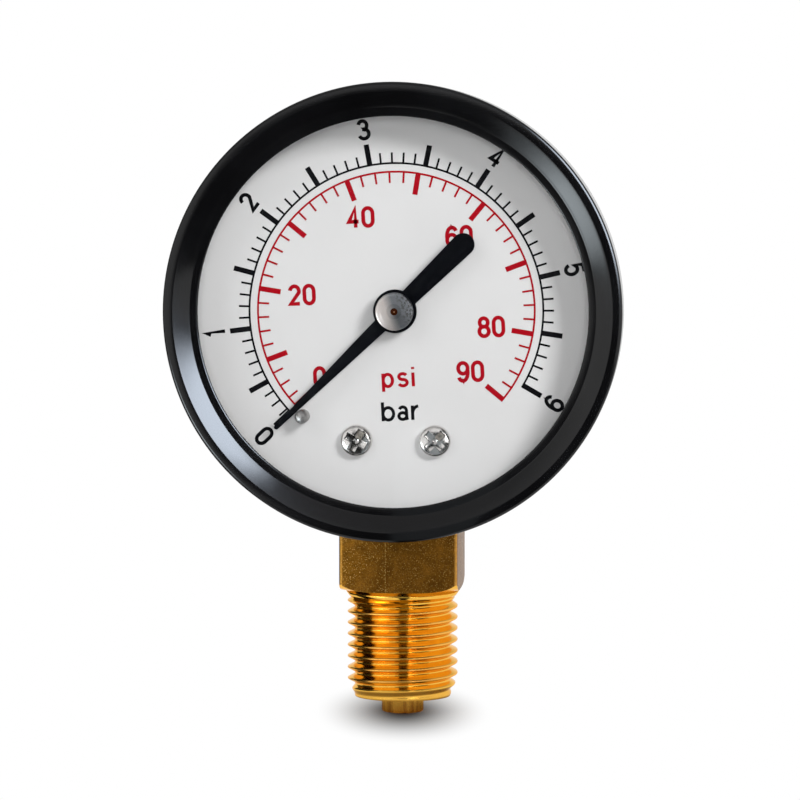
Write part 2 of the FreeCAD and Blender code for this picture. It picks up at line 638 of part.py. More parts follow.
def pinion_arbor():
    """Arbor with the pinion cut on it: rear pivot, front journal and nose for the pointer."""
    pitch, tip, root = gear_radii(PINION_TEETH, PROFILE_SHIFT)
    front_shoulder = BETWEEN_FRONT_Y + END_SHAKE
    back_shoulder = BETWEEN_BACK_Y - END_SHAKE
    arbor = turned([
        (0, HUB_Y), (PINION_JOURNAL_RADIUS, HUB_Y), (PINION_JOURNAL_RADIUS, front_shoulder),
        (PINION_BODY_RADIUS, front_shoulder), (PINION_BODY_RADIUS, back_shoulder),
        (PINION_PIVOT_RADIUS, back_shoulder), (PINION_PIVOT_RADIUS, SHELF_Y - END_SHAKE),
        (0, SHELF_Y - END_SHAKE)])
    blank = rod(DIAL_CENTRE, root, PINION_Y, PINION_Y + PINION_LENGTH)
    step = 360 / PINION_TEETH
    leaves = [gear_tooth(DIAL_CENTRE, PINION_TEETH, PROFILE_SHIFT, -90 + (index + 0.5) * step,
                         PINION_Y, PINION_LENGTH) for index in range(PINION_TEETH)]
    return joined(arbor, blank, *leaves)


def sector_gear():
    """Sector: toothed rim on two spokes, a hub, and a slotted tail for the link's pin."""
    pitch, tip, root = gear_radii(WHEEL_TEETH, -PROFILE_SHIFT)
    step = 360 / WHEEL_TEETH
    angles = [90 - index * step for index in range(SECTOR_FIRST_TOOTH, SECTOR_LAST_TOOTH + 1)]
    low, high = min(angles) - step / 2, max(angles) + step / 2
    back_y = SECTOR_Y + SECTOR_THICKNESS

    def wedge(radius, thickness):
        """Part of a round plate between the two ends of the toothing."""
        start, middle, end = (on_dial(polar(SECTOR_PIVOT, radius, angle), SECTOR_Y)
                              for angle in (low, (low + high) / 2, high))
        centre = on_dial(SECTOR_PIVOT, SECTOR_Y)
        edges = [Part.LineSegment(centre, start).toShape(),
                 Part.Arc(start, middle, end).toShape(),
                 Part.LineSegment(end, centre).toShape()]
        return Part.Face(Part.Wire(edges)).extrude(DIAL_AXIS * thickness)

    rim_inner = root - SECTOR_RIM
    rim = wedge(root, SECTOR_THICKNESS)
    rim = rim.cut(rod(SECTOR_PIVOT, rim_inner, SECTOR_Y, back_y))
    spokes = []
    for angle in (low, high):
        inward = SECTOR_SPOKE / 2 if angle == low else -SECTOR_SPOKE / 2
        lean = math.degrees(inward / rim_inner)
        foot = polar(SECTOR_PIVOT, SECTOR_HUB_RADIUS / 2, angle + lean)
        head = polar(SECTOR_PIVOT, rim_inner + SECTOR_RIM / 4, angle + lean)
        spokes.append(belt([(foot, SECTOR_SPOKE / 2), (head, SECTOR_SPOKE / 2)],
                           SECTOR_Y, SECTOR_THICKNESS))
    teeth = [gear_tooth(SECTOR_PIVOT, WHEEL_TEETH, -PROFILE_SHIFT, angle,
                        SECTOR_Y, SECTOR_THICKNESS) for angle in angles]
    hub = rod(SECTOR_PIVOT, SECTOR_HUB_RADIUS, SECTOR_Y, back_y)
    tail = belt([(SECTOR_PIVOT, TAIL_END_RADIUS), (LINK_TAIL_END, TAIL_END_RADIUS)],
                SECTOR_Y, SECTOR_THICKNESS)
    slot_end = polar(SECTOR_PIVOT, TAIL_REACH - TAIL_SLOT + 2 * LINK_PIN_RADIUS, TAIL_ANGLE)
    slot = belt([(slot_end, LINK_PIN_RADIUS), (LINK_TAIL_END, LINK_PIN_RADIUS)],
                SECTOR_Y, SECTOR_THICKNESS)
    bore = rod(SECTOR_PIVOT, SECTOR_BODY_RADIUS, SECTOR_Y, back_y)
    return joined(rim, hub, tail, *spokes, *teeth).cut([slot, bore])


def sector_arbor():
    """Arbor of the sector, with a pivot at each end."""
    front, back = BETWEEN_FRONT_Y + END_SHAKE, BETWEEN_BACK_Y - END_SHAKE
    front_end = FRONT_PLATE_Y + END_SHAKE
    back_end = SHELF_Y - END_SHAKE
    return turned([
        (0, front_end), (SECTOR_PIVOT_RADIUS, front_end), (SECTOR_PIVOT_RADIUS, front),
        (SECTOR_BODY_RADIUS, front), (SECTOR_BODY_RADIUS, back), (SECTOR_PIVOT_RADIUS, back),
        (SECTOR_PIVOT_RADIUS, back_end), (0, back_end)], SECTOR_PIVOT)


def link():
    """Flat strip with an eye at each end."""
    strip = belt([(LINK_TAIL_END, EYE_RADIUS), (LINK_TIP_END, EYE_RADIUS)],
                 LINK_Y, LINK_THICKNESS)
    back_y = LINK_Y + LINK_THICKNESS
    tip_eye = rod(LINK_TIP_END, LINK_PIN_RADIUS + LINK_TIP_EYE_PLAY, LINK_Y, back_y)
    tail_eye = rod(LINK_TAIL_END, LINK_PIN_RADIUS + LINK_TAIL_EYE_PLAY, LINK_Y, back_y)
    return strip.cut([tip_eye, tail_eye])


def link_tip_pin():
    """Headed pin, riveted in the lug of the tube's end, on which the link turns."""
    head_back = LINK_Y - LINK_PLAY
    back_y = TIP_LUG_Y + TIP_LUG_THICKNESS
    return turned([
        (0, head_back - LINK_PIN_HEAD_HEIGHT), (LINK_PIN_HEAD, head_back - LINK_PIN_HEAD_HEIGHT),
        (LINK_PIN_HEAD, head_back), (LINK_PIN_RADIUS, head_back),
        (LINK_PIN_RADIUS, back_y), (0, back_y)], LINK_TIP_END)


def link_tail_pin():
    """Pin clamped in the slot of the sector's tail, with its head behind the link."""
    back_seat = LINK_Y + LINK_THICKNESS + LINK_PLAY
    back_y = back_seat + LINK_PIN_HEAD_HEIGHT
    return turned([
        (0, SECTOR_Y), (LINK_PIN_RADIUS, SECTOR_Y), (LINK_PIN_RADIUS, back_seat),
        (LINK_PIN_HEAD, back_seat), (LINK_PIN_HEAD, back_y), (0, back_y)], LINK_TAIL_END)


# ---------------------------------------------------------------- hairspring

def hairspring():
    """Flat spiral strip of half circles from the collet to the stud, about two near centres."""
    growth = (HAIRSPRING_OUTER - HAIRSPRING_INNER) / HAIRSPRING_HALF_TURNS
    start_angle = STUD_ANGLE - 180 * HAIRSPRING_HALF_TURNS

    def side_arcs(offset):
        arcs = []
        for index in range(HAIRSPRING_HALF_TURNS):
            angle = start_angle + 180 * index
            centre = polar(DIAL_CENTRE, growth / 2, angle + 180)
            radius = HAIRSPRING_INNER + (index + 0.5) * growth + offset
            arcs.append([on_dial(polar(centre, radius, angle + turn), HAIRSPRING_Y)
                         for turn in (0, 90, 180)])
        return arcs

    inside, outside = side_arcs(-HAIRSPRING_STRIP / 2), side_arcs(HAIRSPRING_STRIP / 2)
    edges = [Part.Arc(*points).toShape() for points in inside]
    edges.append(Part.LineSegment(inside[-1][2], outside[-1][2]).toShape())
    edges += [Part.Arc(*reversed(points)).toShape() for points in reversed(outside)]
    edges.append(Part.LineSegment(outside[0][0], inside[0][0]).toShape())
    return Part.Face(Part.Wire(edges)).extrude(DIAL_AXIS * HAIRSPRING_HEIGHT)


def hairspring_collet():
    """Ring on the pinion's arbor, slit for the spring's inner end."""
    ring = turned([
        (PINION_BODY_RADIUS, COLLET_BACK_Y - COLLET_HEIGHT),
        (COLLET_RADIUS, COLLET_BACK_Y - COLLET_HEIGHT),
        (COLLET_RADIUS, COLLET_BACK_Y), (PINION_BODY_RADIUS, COLLET_BACK_Y)])
    return ring.cut(hairspring())


def hairspring_stud():
    """Post on the back plate, slit for the spring's outer end."""
    post = rod(STUD_PLACE, STUD_RADIUS, HAIRSPRING_Y - STUD_RADIUS, BETWEEN_BACK_Y)
    return post.cut(hairspring())


# ---------------------------------------------------------------- nodes

NODES = {
    "case": case,
    "bezel_ring": bezel_ring,
    "window": window,
    "window_gasket": window_gasket,
    "case_screws": case_screws,
    "socket": socket,
    "dial_plate": dial_plate,
    "dial_screws": dial_screws,
    "stop_pin": stop_pin,
    "pointer_blade": pointer_blade,
    "pointer_hub": pointer_hub,
    "bourdon_tube": bourdon_tube,
    "tube_tip": tube_tip,
    "back_plate": back_plate,
    "front_plate": front_plate,
    "movement_pillars": movement_pillars,
    "movement_screws": movement_screws,
    "pinion_arbor": pinion_arbor,
    "sector_gear": sector_gear,
    "sector_arbor": sector_arbor,
    "link": link,
    "link_tip_pin": link_tip_pin,
    "link_tail_pin": link_tail_pin,
    "hairspring": hairspring,
    "hairspring_collet": hairspring_collet,
    "hairspring_stud": hairspring_stud,
}


def build():
    """Shape of every node, by name; a group of like pieces is one compound."""
    shapes = {}
    for name, make in NODES.items():
        made = make()
        shapes[name] = Part.makeCompound(made) if isinstance(made, list) else made
    return shapes


if __name__ == "__main__":
    os.makedirs("parts", exist_ok=True)
    for node, shape in build().items():
        shape.exportStep(f"parts/{node}.step")
        print(f"{node}: {len(shape.Solids)} solid(s), {shape.Volume:.2f} mm3")
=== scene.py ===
"""Dresses a Bourdon-tube pressure gauge with a 50 mm dial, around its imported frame.

Metres, in the part's own frame: the origin is on the stem's axis at the seal face, +Z points
up the stem, -Y is the way the dial faces and +X is to its reader's right. Places on the dial
are (x, z) from its centre, and the print's angles run clockwise from six o'clock.
"""

import math
from collections import namedtuple

import bmesh
import bpy
from bpy.props import FloatProperty, FloatVectorProperty, IntProperty, PointerProperty
from bpy.types import Operator, Panel, PropertyGroup
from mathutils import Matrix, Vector


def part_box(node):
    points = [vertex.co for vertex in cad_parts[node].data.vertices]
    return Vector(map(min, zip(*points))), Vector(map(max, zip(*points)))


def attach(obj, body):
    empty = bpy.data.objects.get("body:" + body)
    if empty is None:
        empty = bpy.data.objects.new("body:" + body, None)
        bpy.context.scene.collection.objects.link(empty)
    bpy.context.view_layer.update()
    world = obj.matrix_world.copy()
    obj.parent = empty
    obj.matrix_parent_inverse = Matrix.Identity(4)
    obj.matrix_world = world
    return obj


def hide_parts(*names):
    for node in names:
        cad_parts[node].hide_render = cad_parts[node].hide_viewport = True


bl_info = {
    "name": "Pressure gauge",
    "version": (1, 0, 0),
    "blender": (4, 5, 0),
    "location": "View3D > Sidebar > Gauge",
    "description": "Builds a pressure gauge's case, ring, dial, pointer and socket",
    "category": "Object",
}

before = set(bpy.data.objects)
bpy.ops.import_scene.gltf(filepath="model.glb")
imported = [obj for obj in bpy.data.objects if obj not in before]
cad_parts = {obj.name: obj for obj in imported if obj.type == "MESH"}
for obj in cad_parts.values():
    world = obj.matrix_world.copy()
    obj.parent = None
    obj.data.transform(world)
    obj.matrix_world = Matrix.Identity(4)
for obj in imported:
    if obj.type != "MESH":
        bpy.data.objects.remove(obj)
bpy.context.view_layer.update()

MM = 0.001
TURN = 2 * math.pi

# ------------------------------------------------------------------ places from the frame


def middle(node):
    """Centre of a node's box."""
    low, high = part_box(node)
    return (low + high) / 2


def front(node):
    """Y of a node's front."""
    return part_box(node)[0].y


def back(node):
    """Y of a node's back."""
    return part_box(node)[1].y


def radius_of(node):
    """Radius of a round node that faces along Y."""
    low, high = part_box(node)
    return (high.z - low.z) / 2


DIAL_Z = middle("bezel_ring").z
DIAL_FACE_Y = front("dial_plate")
SPIGOT_END_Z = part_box("socket")[0].z
SQUARE_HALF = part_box("socket")[1].x
STOP_PIN_PLACE = middle("stop_pin")


# ------------------------------------------------------------------ properties

def length(name, description, millimetres):
    """Property of a length, given in millimetres."""
    return FloatProperty(name=name, description=description, default=millimetres * MM,
                         unit="LENGTH", subtype="DISTANCE", precision=5)


def angle(name, description, degrees):
    """Property of an angle, given in degrees."""
    return FloatProperty(name=name, description=description, default=math.radians(degrees),
                         unit="ROTATION", subtype="ANGLE")


def share(name, description, default):
    """Property from 0 to 1."""
    return FloatProperty(name=name, description=description, default=default,
                         min=0.0, max=1.0, subtype="FACTOR")


def amount(name, description, default):
    """Property that holds a number of 0 or more."""
    return FloatProperty(name=name, description=description, default=default, min=0.0)


def colour(name, description, default):
    """Property of a colour."""
    return FloatVectorProperty(name=name, description=description, default=default,
                               size=3, min=0.0, max=1.0, subtype="COLOR")


class CaseSettings(PropertyGroup):
    """Drawn case and the ring that closes it."""
    gasket_inset: length("Gasket inset", "From the case's outside to its gasket's edge", 0.15)
    wall: length("Wall", "Thickness of the case's sheet", 0.7)
    rim_rounding: length("Rim rounding", "Radius of the edges of the case's rim", 0.2)
    back_rounding: length("Back rounding", "Outer radius of the case's back corner", 2.3)
    opening_play: length("Opening play", "Gap round the square in the case's wall", 0.25)
    ring_wall: length("Ring wall", "Thickness of the ring's sheet", 0.65)
    ring_width: length("Ring width", "From the ring's outside to its opening", 3.95)
    lip_width: length("Lip width", "Flat of the ring's lip on the window", 0.95)
    lip_fall: length("Lip fall", "How far the lip falls towards the window", 0.13)
    dish_depth: length("Dish depth", "From the ring's crest back to its lip", 1.0)
    crest_land: length("Crest land", "Width of the ring's flat crest", 1.12)
    dish_bulge: length("Dish bulge", "How far the dished face's bend stands proud of a cone", 0.13)
    dish_rounding: length("Dish rounding", "Radius of the dished face's bend", 7.5)
    fold: length("Fold", "Radius of the folds at both ends of the dished face", 0.35)
    crest_rounding: length("Crest rounding", "Radius of the ring's outer edge", 0.42)
    lip_rounding: length("Lip rounding", "Radius of the ring's rolled inner edge", 0.22)
    skirt_rounding: length("Skirt rounding", "Radius of the edges at the ring's back", 0.28)
    enamel: colour("Enamel", "Paint of the case and the ring", (0.0030, 0.0030, 0.0034))
    chip: colour("Chip", "Bare specks in the enamel", (0.5, 0.48, 0.45))


class DialSettings(PropertyGroup):
    """Dial plate and its print."""
    print_height: length("Print height", "Thickness of the ink", 0.012)
    bar_arc: length("Bar arc", "Radius of the outer scale's line", 17.2)
    bar_minor_end: length("Bar minor end", "Outer end of the outer scale's fine marks", 18.45)
    bar_major_end: length("Bar major end", "Outer end of the outer scale's bold marks", 19.65)
    psi_arc: length("Psi arc", "Radius of the inner scale's line", 16.2)
    psi_minor_end: length("Psi minor end", "Inner end of the inner scale's fine marks", 14.9)
    psi_major_end: length("Psi major end", "Inner end of the inner scale's bold marks", 13.7)
    line: length("Line", "Width of the scales' lines", 0.23)
    fine_mark: length("Fine mark", "Width of the fine marks", 0.235)
    bold_mark: length("Bold mark", "Width of the bold marks", 0.61)
    start: angle("Start", "Where both scales start, clockwise from six o'clock", 46.4)
    bar_zero: angle("Bar zero", "Where 0 bar would fall", 39.3)
    bar_step: angle("Bar step", "Angle of 1 bar", 43.49)
    psi_zero: angle("Psi zero", "Where 0 psi would fall", 38.9)
    psi_step: angle("Psi step", "Angle of 10 psi", 30.07)
    tilt: angle("Tilt", "Turn of the upright print, anticlockwise", 3.0)
    numeral_radius: length("Numeral radius", "Middle of the outer numerals", 21.4)
    bar_numeral: length("Bar numeral", "Height of the outer numerals", 2.5)
    bar_pen: length("Bar pen", "Width of the outer numerals' strokes", 0.42)
    psi_numeral: length("Psi numeral", "Height of the inner numerals", 2.55)
    psi_pen: length("Psi pen", "Width of the inner numerals' strokes", 0.45)
    psi_gap: length("Psi gap", "Gap between the inner numerals' digits", 0.15)
    bar_unit: length("Bar unit", "Height of the outer scale's unit", 1.82)
    bar_unit_pen: length("Bar unit pen", "Width of the outer unit's strokes", 0.37)
    bar_unit_gap: length("Bar unit gap", "Gap between the outer unit's letters", 0.24)
    psi_unit: length("Psi unit", "Height of the inner scale's unit", 1.8)
    psi_unit_pen: length("Psi unit pen", "Width of the inner unit's strokes", 0.38)
    psi_unit_gap: length("Psi unit gap", "Gap between the inner unit's letters", 0.28)
    paint: colour("Paint", "Dial's white", (0.78, 0.78, 0.78))
    black: colour("Black ink", "Outer scale", (0.002, 0.002, 0.003))
    black_worn: colour("Worn black ink", "Where the black is thin", (0.020, 0.021, 0.024))
    red: colour("Red ink", "Inner scale", (0.41, 0.0015, 0.009))
    red_worn: colour("Worn red ink", "Where the red is thin", (0.34, 0.005, 0.017))


class PointerSettings(PropertyGroup):
    """Pointer and its hub."""
    rest_angle: angle("Rest angle", "Pointer at rest, anticlockwise from +X", 224.4)
    tip_reach: length("Tip reach", "From the hub's centre to the tip", 19.7)
    tip_radius: length("Tip radius", "Rounding of the tip", 0.27)
    root_half: length("Root half width", "Half the blade's width at the centre", 0.95)
    tail_reach: length("Tail reach", "From the hub's centre to the tail's end", 12.45)
    tail_radius: length("Tail radius", "Rounding of the tail's end", 1.33)
    boss_radius: length("Boss radius", "Round middle of the blade", 2.54)
    edge: length("Edge", "Rounding of the stamped edges", 0.05)
    cap_rounding: length("Cap rounding", "Radius of the hub's outer edge", 0.22)
    cap_slope: angle("Cap slope", "How far the hub's face falls away outwards", 5.0)
    groove_depth: length("Groove depth", "Depth of the deeper groove in the hub's face", 0.03)
    inner_groove: length("Inner groove", "Radius where the hub's inner groove starts", 0.86)
    outer_groove: length("Outer groove", "Radius where the hub's outer groove starts", 1.64)
    bore: length("Bore", "Radius of the hub's bore", 0.42)
    bore_mouth: length("Bore mouth", "Radius of the bore where the hub is peened over", 0.33)
    neck: length("Neck", "Radius of the hub behind the blade", 1.1)
    paint: colour("Paint", "Blade's matt black", (0.0011, 0.0014, 0.0026))
    metal: colour("Metal", "Hub's turned metal", (0.76, 0.74, 0.72))


class ScrewSettings(PropertyGroup):
    """Cross-recessed screws and the stop pin."""
    dial_head: length("Dial screw head", "Radius of the dial screws' heads", 1.85)
    dial_head_height: length("Dial head height", "Height of the dial screws' heads", 1.2)
    dial_shank: length("Dial screw shank", "Radius of the dial screws' threads", 1.0)
    case_head: length("Case screw head", "Radius of the case screws' heads", 2.8)
    case_head_height: length("Case head height", "Height of the case screws' heads", 1.7)
    case_shank: length("Case screw shank", "Radius of the case screws' threads", 1.5)
    hole_play: length("Hole play", "Gap round the case screws in the case's wall", 0.15)
    movement_head: length("Movement screw head", "Radius of the movement screws' heads", 1.4)
    movement_shank: length("Movement screw shank", "Radius of their holes in the socket", 0.8)
    pin_dome: length("Pin dome", "Height of the stop pin's dome", 0.5)
    edge: length("Edge", "Rounding of the screws' edges", 0.03)
    recess_turn: angle("Recess turn", "Turn of the left dial screw's cross", 62.0)
    recess_lag: angle("Recess lag", "How much less the right dial screw is turned", 16.0)
    nickel: colour("Nickel", "Plating of the screws", (0.74, 0.72, 0.70))
    recess: colour("Recess", "Duller metal in the cross recesses", (0.46, 0.42, 0.37))
    # Painted shade: the cross recesses' walls are dark as if in shadow.
    recess_wall: colour("Recess wall", "Grime on the cross recesses' walls", (0.10, 0.095, 0.09))
    pin: colour("Pin", "Stop pin's metal", (0.46, 0.45, 0.44))


class SocketSettings(PropertyGroup):
    """Socket: thread, neck, spanner square and head."""
    crest: length("Crest", "Radius over the thread's crests", 6.58)
    pitch: length("Pitch", "Pitch of the thread", 1.337)
    flank: angle("Flank", "Half the angle between the thread's flanks", 27.5)
    thread_rounding: length("Thread rounding", "Radius of crests and roots", 0.184)
    threaded: length("Threaded", "End of the thread's run-out above the seal face", 11.9)
    chamfer: length("Chamfer", "How far the thread's start is turned down", 0.90)
    chamfer_slope: amount("Chamfer slope", "Radius that the turned-down start gains per length", 0.42)
    runout: length("Run-out", "Length over which the thread runs out", 1.1)
    groove: length("Groove", "Radius under the neck, where the thread ends", 6.17)
    thread_start: share("Thread start", "Share of a turn at which a crest starts", 0.081)
    spigot: length("Spigot", "Radius of the centring spigot", 2.5)
    inlet: length("Inlet", "Radius of the inlet", 1.25)
    inlet_depth: length("Inlet depth", "Depth of the inlet from the spigot's end", 17.9)
    square_bottom: length("Square bottom", "Bottom of the square above the seal face", 13.0)
    square_edge: length("Square edge", "Rounding of the square's upright edges", 0.45)
    turned_angle: angle("Turned angle", "Slope of the square's turned-off corners", 28.0)
    neck: length("Neck", "Radius of the neck's collar over the groove", 6.45)
    passage: length("Passage", "Radius of the passage from the inlet to the tube", 0.8)
    passage_end: length("Passage end", "Top of that passage above the seal face", 32.5)
    shoulder: length("Shoulder", "From the case's bottom up to the end of the square", 3.3)
    tube_wall: length("Tube wall", "Metal of the head behind the tube", 0.5)
    dial_rib: length("Dial rib", "Half height of the rib for the dial's screws", 2.0)
    back_rib: length("Back rib", "Half height of the rib for the case's screws", 2.6)
    head_edge: length("Head edge", "Rounding of the square's and the head's edges", 0.09)
    brass: colour("Brass", "Turned brass", (0.93, 0.525, 0.085))
    crest_brass: colour("Crest brass", "Rubbed brass on the thread's crests", (0.96, 0.44, 0.10))
    tarnish: colour("Tarnish", "Stains at the thread's start", (0.55, 0.25, 0.04))
    milled: colour("Milled brass", "Brass of the spanner square", (0.33, 0.138, 0.016))
    worn_edge: colour("Worn edge", "Square's rubbed upright edges", (0.80, 0.40, 0.08))
    # Colour of the painted sparkle glints on the milled brass.
    spark: colour("Spark", "Bright grains of the milled brass", (0.92, 0.55, 0.16))


class MovementSettings(PropertyGroup):
    """Colours of the pieces inside the case."""
    brass: colour("Brass", "Plates, pillars, sector and link", (0.74, 0.52, 0.21))
    steel: colour("Steel", "Arbors", (0.46, 0.46, 0.47))
    bronze: colour("Bronze", "Bourdon tube and its end", (0.68, 0.40, 0.20))
    spring: colour("Spring bronze", "Hairspring", (0.66, 0.43, 0.23))
    rubber: colour("Rubber", "Window gasket", (0.012, 0.012, 0.012))
    arbor_nose: colour("Arbor nose", "Brown brass end of the pointer's arbor", (0.08, 0.02, 0.007))


class StageSettings(PropertyGroup):
    """Camera, lights and floor."""
    azimuth: angle("Azimuth", "Camera's turn to the right of the dial's axis", 4.6)
    elevation: angle("Elevation", "Camera's height above the horizon", 3.8)
    distance: length("Distance", "From the camera to the stem's plane", 503.0)
    aim_x: length("Aim x", "Where the camera aims, across", -0.32)
    aim_z: length("Aim z", "Where the camera aims, above the seal face", 35.4)
    lens: FloatProperty(name="Lens", description="Focal length in millimetres",
                        default=189.9, unit="CAMERA")
    key_light: amount("Key light", "Radiance of the soft light at the upper right", 27.0)
    front_light: amount("Front light", "Radiance of the soft light in front", 15.0)
    fill_light: amount("Fill light", "Radiance of the broad light at the upper left", 1.6)
    strip_light: amount("Strip light", "Glow of the card that the ring mirrors at its lower left", 25.0)
    side_light: amount("Side light", "Radiance of the light that the brass mirrors", 4.2)
    low_card: amount("Low card", "Glow that the ring mirrors at its upper right", 9.2)
    sky: amount("Sky", "Strength of the surroundings' light", 0.13)
    mirrored_top: amount("Mirrored top", "How bright mirrors see the top of the studio", 0.5)
    floor: colour("Floor", "Colour of the floor round the stem", (0.84, 0.84, 0.84))
    # Painted shadow: the dark grey that the floor takes under the stem, where the camera sees it.
    floor_core: colour("Floor core", "Colour of the floor under the stem", (0.12, 0.14, 0.17))
    shadow_width: length("Shadow width", "Half width of the floor's shaded patch", 10.8)
    shadow_depth: length("Shadow depth", "Half depth of the floor's shaded patch", 28.0)


class GaugeSettings(PropertyGroup):
    """Everything that can be changed on the gauge."""
    case: PointerProperty(type=CaseSettings)
    dial: PointerProperty(type=DialSettings)
    pointer: PointerProperty(type=PointerSettings)
    screws: PointerProperty(type=ScrewSettings)
    socket: PointerProperty(type=SocketSettings)
    movement: PointerProperty(type=MovementSettings)
    stage: PointerProperty(type=StageSettings)
    facets: IntProperty(name="Facets", description="Sides of the large round pieces",
                        default=192, min=24)


# ------------------------------------------------------------------ outlines and turning

def about_dial(x=0.0, z=0.0):
    """Way of placing (radius, y, turn) about a line along Y through a place on the dial."""
    def put(radius, y, turn):
        return Vector((x + radius * math.cos(turn), y, DIAL_Z + z + radius * math.sin(turn)))
    return put


def about_stem(radius, z, turn):
    """Places (radius, z, turn) about the stem's axis."""
    return Vector((radius * math.cos(turn), radius * math.sin(turn), z))


def rounded(corners, steps=6):
    """Outline through corners (u, v) or (u, v, radius), each radius drawn as an arc."""
    points = []
    for index, (u, v, *radius) in enumerate(corners):
        here = Vector((u, v))
        if not radius:
            points.append(here)
            continue
        before = (Vector(corners[index - 1][:2]) - here).normalized()
        after = (Vector(corners[(index + 1) % len(corners)][:2]) - here).normalized()
        half = before.angle(after) / 2
        inset = radius[0] / math.tan(half)
        centre = here + (before + after).normalized() * (radius[0] / math.sin(half))
        start, end = here + before * inset - centre, here + after * inset - centre
        points += [centre + start.slerp(end, step / steps).normalized() * radius[0]
                   for step in range(steps + 1)]
    return points


def arc(centre, radius, start, end, steps=12):
    """Points on an arc in a plane; radius is one number or (across, up), angles in degrees."""
    across, up = radius if isinstance(radius, tuple) else (radius, radius)
    return [(centre[0] + across * math.cos(math.radians(start + (end - start) * k / steps)),
             centre[1] + up * math.sin(math.radians(start + (end - start) * k / steps)))
            for k in range(steps + 1)]


def revolve(bm, outline, put, steps, closed=True):
    """Turns an outline of (radius, along) about put's axis; a point on the axis stays one."""
    rings = []
    for radius, along in outline:
        count = 1 if radius < 1e-7 else steps
        rings.append([bm.verts.new(put(radius, along, TURN * k / steps)) for k in range(count)])
    pairs = list(zip(rings, rings[1:]))
    if closed:
        pairs.append((rings[-1], rings[0]))
    for near, far in pairs:
        for k in range(steps):
            corners = [near[k % len(near)], near[(k + 1) % len(near)],
                       far[(k + 1) % len(far)], far[k % len(far)]]
            distinct = list(dict.fromkeys(corners))
            if len(distinct) > 2:
                bm.faces.new(distinct)


def prism(bm, outline, put_low, put_high):
    """Closed solid between two copies of an outline."""
    low = [bm.verts.new(put_low(*point)) for point in outline]
    high = [bm.verts.new(put_high(*point)) for point in outline]
    bm.faces.new(low)
    bm.faces.new(reversed(high))
    for k in range(len(low)):
        after = (k + 1) % len(low)
        bm.faces.new((low[after], low[k], high[k], high[after]))


def box(bm, low, high):
    """Block between two corners."""
    outline = [(low[0], low[1]), (high[0], low[1]), (high[0], high[1]), (low[0], high[1])]
    prism(bm, outline, lambda x, y: Vector((x, y, low[2])), lambda x, y: Vector((x, y, high[2])))


# ------------------------------------------------------------------ pieces

def solid(name, bm):
    """Object from a mesh under construction, with its faces turned outwards."""
    bmesh.ops.remove_doubles(bm, verts=bm.verts, dist=1e-8)
    bmesh.ops.recalc_face_normals(bm, faces=bm.faces)
    mesh = bpy.data.meshes.new(name)
    bm.to_mesh(mesh)
    bm.free()
    piece = bpy.data.objects.new(name, mesh)
    bpy.context.scene.collection.objects.link(piece)
    return piece


def apply_modifiers(piece):
    """Leaves the piece with the mesh that its modifiers give."""
    bpy.context.view_layer.update()
    evaluated = piece.evaluated_get(bpy.context.evaluated_depsgraph_get())
    made = bpy.data.meshes.new_from_object(evaluated)
    old = piece.data
    piece.modifiers.clear()
    piece.data = made
    bpy.data.meshes.remove(old)
    made.name = piece.name


def combine(piece, operation, tools):
    """Cuts, joins or crosses a piece with other solids, which are used up."""
    for tool in tools:
        modifier = piece.modifiers.new(operation, "BOOLEAN")
        modifier.operation = operation
        modifier.solver = "EXACT"
        modifier.object = tool
    apply_modifiers(piece)
    for tool in tools:
        mesh = tool.data
        bpy.data.objects.remove(tool)
        bpy.data.meshes.remove(mesh)


def ease(piece, width, limit):
    """Rounds a piece's edges that are sharper than a limit in degrees."""
    modifier = piece.modifiers.new("ease", "BEVEL")
    modifier.width = width
    modifier.segments = 2
    modifier.limit_method = "ANGLE"
    modifier.angle_limit = math.radians(limit)
    apply_modifiers(piece)


def smooth(piece, limit):
    """Shades a piece smooth, apart from edges sharper than a limit in degrees."""
    bm = bmesh.new()
    bm.from_mesh(piece.data)
    for face in bm.faces:
        face.smooth = True
    for edge in bm.edges:
        edge.smooth = edge.calc_face_angle(0.0) < math.radians(limit)
    bm.to_mesh(piece.data)
    bm.free()


def dress(piece, body, finishes, nodes=(), limit=35):
    """Shades a finished shape smooth, gives it its finishes and the body it rides on, and hides the
    nodes it stands for.
    """
    smooth(piece, limit)
    for finish in finishes:
        piece.data.materials.append(finish)
    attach(piece, body)
    if nodes:
        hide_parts(*nodes)


def turned_piece(name, outline, put, steps):
    """Object turned from an outline of (radius, along) about put's axis."""
    bm = bmesh.new()
    revolve(bm, outline, put, steps)
    return solid(name, bm)


# ------------------------------------------------------------------ finishes

WHITE = (1.0, 1.0, 1.0)


